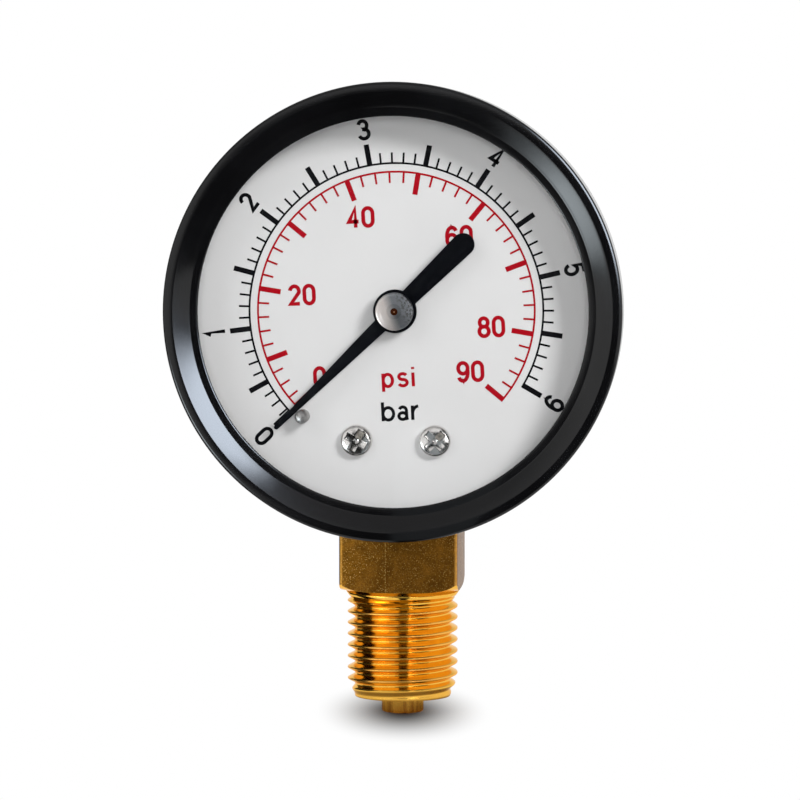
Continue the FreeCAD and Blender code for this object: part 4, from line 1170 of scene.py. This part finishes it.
def cross_recess(put, half_width, reach, top, bottom, turn):
    """Solid in the shape of a cross recess, narrower at its bottom."""
    outline = []
    for quarter in range(4):
        a = turn + quarter * math.pi / 2
        for along, across in ((reach, -half_width), (reach, half_width),
                              (half_width, half_width)):
            outline.append((along * math.cos(a) - across * math.sin(a),
                            along * math.sin(a) + across * math.cos(a)))

    def placed(y, share_of_width):
        return lambda u, v: put(math.hypot(u, v) * share_of_width, y, math.atan2(v, u))

    bm = bmesh.new()
    prism(bm, outline, placed(top, RECESS_FLARE), placed(bottom, RECESS_TAPER))
    return solid("recess", bm)


def pan_head_screw(name, screw, edge):
    """Pan-head screw with a cross recess, whose floor has its own finish and whose walls are painted in
    shade.
    """
    put = about_dial(*screw.place)
    piece = turned_piece(name, screw_outline(screw), put, steps=64)
    head, height = screw.head, screw.facing * screw.height
    floor = screw.seat + height * RECESS_FLOOR
    recess = cross_recess(put, head * RECESS_HALF_WIDTH, head * RECESS_REACH,
                          screw.seat + height * CUTTER_TOP, floor, screw.turn)
    pit_top = floor + height * PIT_RISE
    pit = turned_piece("pit", [
        (0, pit_top), (head * PIT_RADIUS, pit_top), (head * PIT_FLOOR_RADIUS, floor),
        (0, floor - height * PIT_FALL)], put, steps=48)
    combine(piece, "DIFFERENCE", [recess, pit])
    ease(piece, edge, 38)
    for face in piece.data.polygons:
        face.material_index = finish_number(screw, face.center, face.normal)
    return piece


def finish_number(screw, centre, normal):
    """2 on the walls of a screw's cross recess, 1 on its floor and 0 elsewhere."""
    x, z = screw.place
    reach = math.hypot(centre.x - x, centre.z - DIAL_Z - z) / screw.head
    sunk = screw.facing * (crown_y(screw, reach) - centre.y)
    outside = screw.facing * (centre.y - screw.seat) > 0
    if not (DULL_FROM <= reach < DULL_TO and sunk > DULL_BELOW and outside):
        return 0
    on_wall = abs(normal.y) < 0.8
    return 2 if on_wall else 1


class GAUGE_OT_screws(Operator):
    """Dial screws, case screws and the domed stop pin"""
    bl_idname = "gauge.screws"
    bl_label = "Screws and stop pin"

    def execute(self, context):
        gauge = context.scene.gauge
        sizes = gauge.screws
        finishes = [plated("screw_nickel", sizes.nickel, 0.12, 0.03),
                    plated("recess_nickel", sizes.recess, 0.55, 0.15, 0.5),
                    # The third finish paints shade on the cross recesses' walls.
                    plated("recess_wall", sizes.recess_wall, 0.5)]
        turns = (sizes.recess_turn, sizes.recess_turn - sizes.recess_lag)
        self.pair("dial_screws", turns, sizes.edge, finishes, seat=DIAL_FACE_Y, facing=-1,
                  head=sizes.dial_head, height=sizes.dial_head_height, shank=sizes.dial_shank,
                  depth=back("dial_screws") - DIAL_FACE_Y)
        seat = back("case")
        self.pair("case_screws", CASE_SCREW_TURNS, sizes.edge, finishes, seat=seat, facing=1,
                  head=sizes.case_head, height=sizes.case_head_height, shank=sizes.case_shank,
                  depth=seat - front("case_screws"))
        self.stop_pin(sizes)
        return {"FINISHED"}

    def pair(self, node, turns, edge, finishes, **shape):
        """Left and right screw of a node."""
        places = screw_places(node, shape["head"])
        for side, place, turn in zip(("left", "right"), places, turns):
            piece = pan_head_screw(f"{node[:-1]}_{side}", Screw(place=place, turn=turn, **shape),
                                   edge)
            dress(piece, "gauge", finishes, [node])

    def stop_pin(self, sizes):
        """Pressed-in pin with a domed top."""
        radius = radius_of("stop_pin")
        top, end = front("stop_pin"), back("stop_pin")
        dome = [(across, top + fall) for across, fall in
                arc((0, sizes.pin_dome), (radius, sizes.pin_dome), -90, 0, 8)]
        put = about_dial(STOP_PIN_PLACE.x, STOP_PIN_PLACE.z - DIAL_Z)
        pin = turned_piece("stop_pin_domed", dome + [(radius, end), (0, end)], put, steps=40)
        dress(pin, "gauge", [plated("pin_metal", sizes.pin, 0.4, 0.12, 0.6)],
              ["stop_pin"])


# ------------------------------------------------------------------ pointer

class GAUGE_OT_pointer(Operator):
    """Stamped pointer and its turned hub"""
    bl_idname = "gauge.pointer"
    bl_label = "Pointer"

    def execute(self, context):
        sizes = context.scene.gauge.pointer
        self.blade(sizes)
        self.hub(sizes)
        return {"FINISHED"}

    def blade(self, sizes):
        """Tapered blade, round boss and a tail that widens to a round end."""
        tip_centre, tip_lean, tip_on_boss = self.taper(sizes, sizes.tip_reach, sizes.tip_radius)
        tail_centre, tail_lean, tail_on_boss = self.taper(
            sizes, sizes.tail_reach, sizes.tail_radius)
        outline = arc((tip_centre, 0), sizes.tip_radius, tip_lean - 90, 90 - tip_lean, 10)
        outline += arc((0, 0), sizes.boss_radius, tip_on_boss, 180 - tail_on_boss, 24)
        outline += arc((-tail_centre, 0), sizes.tail_radius, 90 + tail_lean, 270 - tail_lean, 24)
        outline += arc((0, 0), sizes.boss_radius, 180 + tail_on_boss, 360 - tip_on_boss, 24)
        cos, sin = math.cos(sizes.rest_angle), math.sin(sizes.rest_angle)
        front_y, back_y = front("pointer_blade"), back("pointer_blade")

        def at(depth):
            return lambda u, v: Vector((u * cos - v * sin, depth, DIAL_Z + u * sin + v * cos))

        bm = bmesh.new()
        prism(bm, outline, at(front_y), at(back_y))
        blade = solid("pointer_stamped", bm)
        combine(blade, "DIFFERENCE", [bore((0, 0), sizes.neck, front_y * 1.1, back_y * 0.9, 48)])
        ease(blade, sizes.edge, 50)
        dress(blade, "pointer", [pointer_paint(sizes.paint)], ["pointer_blade"])

    def taper(self, sizes, reach, end_radius):
        """End's centre, lean of the sides and where they meet the boss, both in degrees."""
        lean = math.asin((sizes.root_half - end_radius) / (reach - end_radius))
        on_boss = math.asin(sizes.root_half / sizes.boss_radius) - lean
        return reach - end_radius, math.degrees(lean), math.degrees(on_boss)

    def hub(self, sizes):
        """Turned cap with two grooves in its sloping face and a countersunk bore."""
        radius = radius_of("pointer_hub")
        face, seat, end = front("pointer_hub"), front("pointer_blade"), back("pointer_hub")
        fall = math.tan(sizes.cap_slope)
        deep = sizes.groove_depth

        def on_face(reach, sunk=0.0):
            return (reach, face + fall * (reach - sizes.bore_mouth) + sunk)

        def groove(start, width, depth):
            return [on_face(start), on_face(start + deep, depth), on_face(start + width)]

        outline = rounded([
            on_face(sizes.bore_mouth, deep), on_face(sizes.bore_mouth + deep),
            *groove(sizes.inner_groove, 0.07 * MM, deep),
            *groove(sizes.outer_groove, 0.08 * MM, deep / 2),
            (*on_face(radius), sizes.cap_rounding), (radius, seat),
            (sizes.neck, seat), (sizes.neck, end), (sizes.bore, end)])
        hub = turned_piece("hub_turned", outline, about_dial(), steps=96)
        metal = turned_metal("hub_metal", sizes.metal, sizes.inner_groove)
        dress(hub, "pointer", [metal], ["pointer_hub"], 12)


# ------------------------------------------------------------------ socket

STEM_FACETS = 144


def thread_rows(sizes):
    """One pitch of the thread as (share of the pitch from a crest, height from 0 to 1)."""
    rounding, pitch, flank = sizes.thread_rounding, sizes.pitch, sizes.flank
    depth = thread_depth(sizes)
    steps = 5
    bends = [(math.pi / 2 - flank) * (2 * k / steps - 1) for k in range(steps + 1)]
    crest = [(rounding * math.sin(bend) / pitch, 1 - rounding * (1 - math.cos(bend)) / depth)
             for bend in bends]
    root = [(0.5 + share_of_pitch, 1 - height) for share_of_pitch, height in crest]
    return crest + [(0.25, 0.5)] + root + [(0.75, 0.5)]


def thread_depth(sizes):
    """Depth of a thread whose straight flanks run into rounded crests and roots."""
    rounding, flank = sizes.thread_rounding, sizes.flank
    straight = sizes.pitch / 2 - 2 * rounding * math.cos(flank)
    return 2 * rounding * (1 - math.sin(flank)) + straight / math.tan(flank)


def threaded_stem(bm, sizes):
    """Helical thread from the seal face to the groove under the neck, open at both ends."""
    pitch, last = sizes.pitch, sizes.threaded
    turns_below = 2
    end_slope = 1.2
    steps = STEM_FACETS
    root = sizes.crest - thread_depth(sizes)
    one_pitch = thread_rows(sizes)
    rows = len(one_pitch)
    grid = []
    for turns in range(math.ceil(last / pitch) + turns_below):
        for share_of_pitch, ridge in one_pitch:
            line = []
            for step in range(steps):
                turned = (turns + share_of_pitch + sizes.thread_start + step / steps
                          - turns_below)
                along = min(max(pitch * turned, 0.0), last)
                fade = min(1.0, (last - along) / sizes.runout)
                low = sizes.groove + (root - sizes.groove) * fade
                high = min(sizes.crest,
                           sizes.crest - sizes.chamfer + along * sizes.chamfer_slope,
                           sizes.groove + (last - along) * end_slope)
                radius = low + (high - low) * ridge if high > low else high
                line.append(bm.verts.new(about_stem(radius, along, TURN * step / steps)))
            grid.append(line)
    for row in range(len(grid) - 1):
        for step in range(steps - 1):
            bm.faces.new((grid[row][step], grid[row][step + 1],
                          grid[row + 1][step + 1], grid[row + 1][step]))
        if row + 1 + rows < len(grid):
            bm.faces.new((grid[row][-1], grid[row + rows][0],
                          grid[row + 1 + rows][0], grid[row + 1][-1]))


class GAUGE_OT_socket(Operator):
    """Socket with its helical thread, neck, spanner square, head and inlet"""
    bl_idname = "gauge.socket"
    bl_label = "Socket"

    def execute(self, context):
        gauge = context.scene.gauge
        sizes = gauge.socket
        stem = self.stem(sizes)
        head = self.head(sizes)
        combine(head, "DIFFERENCE", self.holes(gauge))
        ease(head, sizes.head_edge, 50)
        combine(stem, "UNION", [head])
        for face in stem.data.polygons:
            upright = abs(face.normal.z) < 0.1
            if upright and face.center.z > sizes.square_bottom:
                face.material_index = 1
        dress(stem, "gauge", [turned_brass(sizes), milled_brass(sizes)],
              ["socket"], 32)
        return {"FINISHED"}

    def stem(self, sizes):
        """Thread, end face, spigot and inlet below, neck above."""
        bm = bmesh.new()
        threaded_stem(bm, sizes)
        tip = SPIGOT_END_Z
        inlet_end = tip + sizes.inlet_depth
        edge, fillet = 0.3 * MM, 0.12 * MM
        below = rounded([
            (sizes.crest - sizes.chamfer, 0.0), (sizes.spigot, 0.0, fillet),
            (sizes.spigot, tip, edge), (sizes.inlet + edge, tip), (sizes.inlet, tip + edge),
            (sizes.inlet, inlet_end), (0.0, inlet_end)], 4)
        collar, collar_rounding = sizes.threaded + 0.25 * MM, 0.2 * MM
        bottom, inside = sizes.square_bottom + 0.02 * MM, sizes.square_bottom + 0.35 * MM
        above = rounded([
            (sizes.groove, sizes.threaded), (sizes.neck, collar, collar_rounding),
            (SQUARE_HALF, bottom), (SQUARE_HALF, inside), (sizes.inlet, inside), (0.0, inside)],
            4)
        for outline in (below, above):
            revolve(bm, outline, about_stem, STEM_FACETS, closed=False)
        return solid("socket_threaded", bm)

    def head(self, sizes):
        """Spanner square with turned-off corners, and the head inside the case."""
        half, bottom = SQUARE_HALF, sizes.square_bottom
        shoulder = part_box("case")[0].z + sizes.shoulder
        head = self.blank(sizes, half, bottom, shoulder)
        across = half * math.sqrt(2)
        rise = (across - half) * math.tan(sizes.turned_angle)
        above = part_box("socket")[1].z + 1 * MM
        turned_off = turned_piece("turned_off", [
            (0, bottom), *arc((half, bottom + rise), (across - half, rise), -90, 0),
            (across, above), (0, above)], about_stem, STEM_FACETS)
        combine(head, "INTERSECT", [turned_off])
        return head

    def blank(self, sizes, half, bottom, shoulder):
        """Square, head, shelf for the movement and a rib for each pair of screws."""
        low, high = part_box("socket")
        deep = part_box("bourdon_tube")[1].y + sizes.tube_wall
        shelf_y, shelf_z = back("back_plate"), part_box("back_plate")[0].z
        dial_rib, back_rib = middle("dial_screws").z, middle("case_screws").z
        dial_half, back_half = sizes.dial_rib, sizes.back_rib
        outline = [
            (-half, bottom), (half, bottom), (half, shoulder), (deep, shoulder),
            (deep, back_rib - back_half), (high.y, back_rib - back_half),
            (high.y, back_rib + back_half), (deep, back_rib + back_half), (deep, high.z),
            (shelf_y, high.z), (shelf_y, shelf_z), (-deep, shelf_z),
            (-deep, dial_rib + dial_half), (low.y, dial_rib + dial_half),
            (low.y, dial_rib - dial_half), (-deep, dial_rib - dial_half),
            (-deep, shoulder), (-half, shoulder)]
        bm = bmesh.new()
        prism(bm, outline, lambda y, z: Vector((-half, y, z)), lambda y, z: Vector((half, y, z)))

        def at_corner(vert):
            return abs(abs(vert.co.x) - half) < 1e-6 and abs(abs(vert.co.y) - half) < 1e-6

        corners = [edge for edge in bm.edges if all(at_corner(vert) for vert in edge.verts)
                   and abs(edge.verts[0].co.z - edge.verts[1].co.z) > 1 * MM]
        bmesh.ops.bevel(bm, geom=corners, offset=sizes.square_edge, segments=3, profile=0.5,
                        affect="EDGES")
        return solid("head", bm)

    def holes(self, gauge):
        """Inlet and screw holes, as solids to cut away."""
        sizes, screws = gauge.socket, gauge.screws
        groups = [
            ("dial_screws", screws.dial_head, screws.dial_shank, DIAL_FACE_Y,
             back("dial_screws")),
            ("case_screws", screws.case_head, screws.case_shank, front("case_screws"),
             back("case")),
            ("movement_screws", screws.movement_head, screws.movement_shank,
             front("movement_screws"), back("movement_screws"))]
        tools = [bore(place, radius, start, end)
                 for node, head, radius, start, end in groups
                 for place in screw_places(node, head)]
        inlet_end = SPIGOT_END_Z + sizes.inlet_depth
        tools.append(turned_piece("inlet", [
            (0, 0), (sizes.inlet, 0), (sizes.inlet, inlet_end), (sizes.passage, inlet_end),
            (sizes.passage, sizes.passage_end), (0, sizes.passage_end)], about_stem, steps=48))
        return tools


# ------------------------------------------------------------------ pieces inside the case

class GAUGE_OT_movement(Operator):
    """Finishes of the Bourdon tube and the movement, which keep the frame's shapes"""
    bl_idname = "gauge.movement"
    bl_label = "Movement"

    def execute(self, context):
        tints = context.scene.gauge.movement
        brass = bare_metal("movement_brass", tints.brass, 0.3)
        steel = bare_metal("arbor_steel", tints.steel, 0.22)
        bronze = bare_metal("tube_bronze", tints.bronze, 0.34, 0.5 * MM)
        spring = bare_metal("spring_bronze", tints.spring, 0.2, 0.15 * MM)
        finishes = {
            "back_plate": brass, "front_plate": brass, "movement_pillars": brass,
            "sector_gear": brass, "link": brass, "hairspring_collet": brass,
            "hairspring_stud": brass, "movement_screws": steel, "sector_arbor": steel,
            "link_tip_pin": steel, "link_tail_pin": steel, "hairspring": spring,
            "bourdon_tube": bronze, "tube_tip": bronze,
            "pinion_arbor": arbor_metal(tints.steel, tints.arbor_nose)}
        for node, finish in finishes.items():
            repaint(node, finish)
        return {"FINISHED"}


# ------------------------------------------------------------------ stage

# Soft lamps about the dial's centre: azimuth and elevation in degrees, then the distance and
# (width, height) in metres.
LAMPS = {
    "key": (40, 26, 0.6, (0.17, 0.17)),
    "front": (4, 4, 0.8, (0.2, 0.2)),
    "fill": (-40, 28, 0.6, (0.4, 0.3)),
    "side": (28, -2, 0.6, (0.24, 0.3))}
# Cards near the floor: corners (x, y) in millimetres.
FLOOR_CARDS = {
    "front": ((-0.3, -8), (1.8, -8), (27, -79), (-5.3, -79)),
    "left": ((-6.5, -3), (-4.6, -5.6), (-43, -16.5), (-43, 13.5)),
    "dark": ((-34, -39), (35, -46), (150, -100), (150, -290), (-36, -290)),
    "bright": ((-34, -37), (-37, -105), (-200, -240), (-200, -81))}
# The card that the ring mirrors: corners as (azimuth, elevation) in degrees about a place on
# the ring, (x, y, z) in millimetres from the dial's centre, and its distance in metres.
STRIP_CORNERS = ((31, -1), (74, 3), (54, 52), (15, 22))
STRIP_CENTRE = (-21, -16, -12)
STRIP_DISTANCE = 0.6


def direction(azimuth, elevation):
    """Unit vector to the viewer's side: azimuth to the right of -Y, elevation above level."""
    return Vector((math.sin(azimuth) * math.cos(elevation),
                   -math.cos(azimuth) * math.cos(elevation), math.sin(elevation)))


def towards(azimuth, elevation=0.0):
    """The same from angles in degrees."""
    return direction(math.radians(azimuth), math.radians(elevation))


class GAUGE_OT_stage(Operator):
    """Pale floor, soft lights, surroundings and the camera"""
    bl_idname = "gauge.stage"
    bl_label = "Stage"

    def execute(self, context):
        sizes = context.scene.gauge.stage
        scene = context.scene
        scene.view_settings.view_transform = "Standard"
        self.camera(scene, sizes)
        self.floor(sizes)
        self.world(scene, sizes)
        self.lamps(sizes)
        self.strip(sizes)
        self.flag("glass", azimuth=1, distance=216, half_width=58, low=0, high=80)
        self.flag("stem_front", azimuth=7.8, distance=30, half_width=5.3, low=-1.5, high=32,
                  glow=0.33)
        self.flag("stem_left", azimuth=-103, distance=45, half_width=27, low=-1.5, high=100,
                  glow=0.05)
        glow = {"glow": sizes.low_card, "soft": (0.05, 0.15, 0.2, 0.8), "least": 1.0}
        for name, corners in FLOOR_CARDS.items():
            self.card(name, [Vector((x, y, 1.0)) * MM for x, y in corners],
                      **(glow if name == "bright" else {}))
        return {"FINISHED"}

    def camera(self, scene, sizes):
        """Camera in front of the gauge, a little to its right and above."""
        data = bpy.data.cameras.new("camera")
        data.lens = sizes.lens
        data.sensor_width = 36.0
        data.clip_start = 0.01
        data.clip_end = 20.0
        camera = bpy.data.objects.new("camera", data)
        scene.collection.objects.link(camera)
        away = direction(sizes.azimuth, sizes.elevation)
        camera.location = Vector((sizes.aim_x, 0, sizes.aim_z)) + away * sizes.distance
        camera.rotation_euler = away.to_track_quat("Z", "Y").to_euler()
        scene.camera = camera

    def floor(self, sizes):
        """Large sheet under the spigot: round the stem it is lit and darkened by a painted shadow, and
        far away it is white.
        """
        bm = bmesh.new()
        half = 6.0
        bm.faces.new([bm.verts.new((x * half, y * half, SPIGOT_END_Z))
                      for x, y in ((-1, -1), (1, -1), (1, 1), (-1, 1))])
        floor = solid("floor", bm)
        finish = Finish("floor_white")
        x, y, _ = finish.split()
        leaning = finish.maths("MULTIPLY_ADD", y, math.tan(sizes.azimuth), x)
        reach = finish.distance(finish.node("CombineXYZ", {
            "X": finish.maths("DIVIDE", leaning, sizes.shadow_width),
            "Y": finish.maths("DIVIDE", y, sizes.shadow_depth)}).outputs["Vector"])
        # Shares of the shaded patch over which what is seen and what is mirrored turn white.
        far = finish.fade(reach, 0.05, 1.0)
        mirrored_far = finish.fade(finish.from_stem(), 0.2 * sizes.shadow_depth,
                                   0.5 * sizes.shadow_depth)
        seen, mirrored = finish.seen_and_mirrored()
        pale = finish.mix(finish.noise(0.4, 3), sizes.floor, scaled(sizes.floor, 0.98))
        unseen = finish.maths("SUBTRACT", 1.0, seen)
        # Painted shadow: seen from the camera, the floor's colour turns to the dark core colour towards
        # the stem.
        lit = finish.mix(finish.maths("MAXIMUM", far, unseen), sizes.floor_core, pale)
        matt = finish.node("BsdfDiffuse", {"Color": lit}).outputs["BSDF"]
        glow = finish.node("Emission", {"Color": WHITE, "Strength": 1.0}).outputs[0]
        share_glow = finish.maths("MAXIMUM", finish.times(far, seen),
                                  finish.times(mirrored_far, mirrored))
        blend = finish.node("MixShader", {0: share_glow, 1: matt, 2: glow}).outputs[0]
        floor.data.materials.append(finish.done(blend))

    def world(self, scene, sizes):
        """White where it is seen or mirrored, and softer where it lights."""
        world = bpy.data.worlds.new("studio")
        world.use_nodes = True
        scene.world = world
        nodes = Nodes(world.node_tree, "Generated")
        seen, mirrored = nodes.seen_and_mirrored()
        top_starts, top_full = 0.25, 0.65
        overhead = nodes.fit(nodes.split()[2], top_starts, top_full, 1.0, sizes.mirrored_top)
        strength = nodes.fit(nodes.maths("MAXIMUM", seen, mirrored), 0.0, 1.0, sizes.sky,
                             overhead)
        background = nodes.node("Background", {"Color": WHITE, "Strength": strength})
        nodes.node("OutputWorld", {"Surface": background.outputs["Background"]})

    def lamps(self, sizes):
        """Key, front and fill light all but mirrors; the side lamp is only mirrored."""
        for name, place in LAMPS.items():
            lamp = self.light(name, *place, getattr(sizes, f"{name}_light"))
            if name == "side":
                lamp.visible_diffuse = False
                self.spare(lamp, ["closing_ring"])
            else:
                lamp.visible_glossy = False
            if name == "key":
                self.spare(lamp, ["floor"])

    def light(self, name, azimuth, elevation, distance, size, radiance):
        """Soft rectangular lamp that looks at the dial's centre."""
        data = bpy.data.lights.new(name, "AREA")
        data.shape = "RECTANGLE"
        data.size, data.size_y = size
        data.energy = radiance * math.pi * size[0] * size[1]
        lamp = bpy.data.objects.new(name, data)
        away = towards(azimuth, elevation)
        lamp.location = Vector((0, 0, DIAL_Z)) + away * distance
        lamp.rotation_euler = away.to_track_quat("Z", "Y").to_euler()
        lamp.visible_camera = False
        bpy.context.scene.collection.objects.link(lamp)
        return lamp

    def spare(self, lamp, names):
        """Keeps the light of a lamp or a glowing card off some objects."""
        spared = bpy.data.collections.new(f"spared_by_{lamp.name}")
        lamp.light_linking.receiver_collection = spared
        for name in names:
            spared.objects.link(bpy.data.objects[name])
        for entry in spared.collection_objects:
            entry.light_linking.link_state = "EXCLUDE"

    def strip(self, sizes):
        """Glowing card that only the ring and the floor receive, at the ring's lower left."""
        centre = Vector((0, 0, DIAL_Z)) + Vector(STRIP_CENTRE) * MM
        strip = self.card("strip", [centre + STRIP_DISTANCE * towards(*corner)
                                    for corner in STRIP_CORNERS],
                          sizes.strip_light, (0.1, 0.0, 0.3, 0.4), tint=(0.78, 0.87, 1.0))
        self.spare(strip, [piece.name for piece in bpy.data.objects if piece.type == "MESH"
                           and piece.name not in ("closing_ring", "floor", strip.name)])

    def flag(self, name, azimuth, distance, half_width, low, high, glow=0.0):
        """Upright card that faces the stem; sizes in millimetres, angle in degrees."""
        away = towards(azimuth) * distance * MM
        across = towards(azimuth + 90) * half_width * MM
        self.card(name, [away + across * u + Vector((0, 0, z * MM))
                         for u, z in ((-1, low), (1, low), (1, high), (-1, high))], glow)

    def card(self, name, corners, glow=0.0, soft=(), least=0.0, tint=(0.86, 0.95, 1.0)):
        """Card that only mirrors see, so that glossy surfaces have dark and bright parts.

        The glow may fade to its least along two directions: soft is the share of the card
        over which it does so after the first corner, before the second, and so on crosswise.
        """
        bm = bmesh.new()
        layer = bm.loops.layers.uv.new("card")
        face = bm.faces.new([bm.verts.new(corner) for corner in corners])
        for loop, place in zip(face.loops, ((0, 0), (1, 0), (1, 1), (0, 1))):
            loop[layer].uv = place
        card = solid(f"card_{name}", bm)
        finish = Finish(f"card_{name}")
        strength = glow
        if soft:
            u, v, _ = finish.split(finish.node("TexCoord").outputs["UV"])
            for part, after, before in ((u, *soft[:2]), (v, *soft[2:])):
                strength = finish.times(strength, finish.fade(part, -1e-4, after))
                strength = finish.times(strength, finish.fade(part, 1.0001, 1.0 - before))
            strength = finish.plus(strength, least)
        card.data.materials.append(finish.done(finish.node("Emission", {
            "Color": tint, "Strength": strength}).outputs[0]))
        card.visible_camera = False
        card.visible_diffuse = False
        card.visible_shadow = False
        card.visible_transmission = False
        return card


# ------------------------------------------------------------------ sidebar and registering

BUILD_ORDER = (
    GAUGE_OT_case, GAUGE_OT_ring, GAUGE_OT_window, GAUGE_OT_dial, GAUGE_OT_screws,
    GAUGE_OT_pointer, GAUGE_OT_socket, GAUGE_OT_movement, GAUGE_OT_stage)


class GAUGE_PT_sidebar(Panel):
    """Lists the gauge's settings and the pieces that can be built"""
    bl_idname = "GAUGE_PT_sidebar"
    bl_label = "Pressure gauge"
    bl_space_type = "VIEW_3D"
    bl_region_type = "UI"
    bl_category = "Gauge"

    def draw(self, context):
        """Settings of each group, then a button for each operator."""
        gauge = context.scene.gauge
        self.layout.prop(gauge, "facets")
        for group in ("case", "dial", "pointer", "screws", "socket", "movement", "stage"):
            box_layout = self.layout.box()
            box_layout.label(text=group.capitalize())
            settings = getattr(gauge, group)
            for name in settings.bl_rna.properties.keys():
                if name not in ("rna_type", "name"):
                    box_layout.prop(settings, name)
        for operator in BUILD_ORDER:
            self.layout.operator(operator.bl_idname)


CLASSES = (
    CaseSettings, DialSettings, PointerSettings, ScrewSettings, SocketSettings,
    MovementSettings, StageSettings, GaugeSettings, *BUILD_ORDER, GAUGE_PT_sidebar)


def register():
    """Makes the classes and the settings known to the program."""
    for cls in CLASSES:
        bpy.utils.register_class(cls)
    bpy.types.Scene.gauge = PointerProperty(type=GaugeSettings)


def unregister():
    """Takes the settings and the classes out again."""
    del bpy.types.Scene.gauge
    for cls in reversed(CLASSES):
        bpy.utils.unregister_class(cls)


def main():
    """Builds everything."""
    register()
    for operator in BUILD_ORDER:
        category, name = operator.bl_idname.split(".")
        getattr(getattr(bpy.ops, category), name)()


if __name__ == "__main__":
    main()
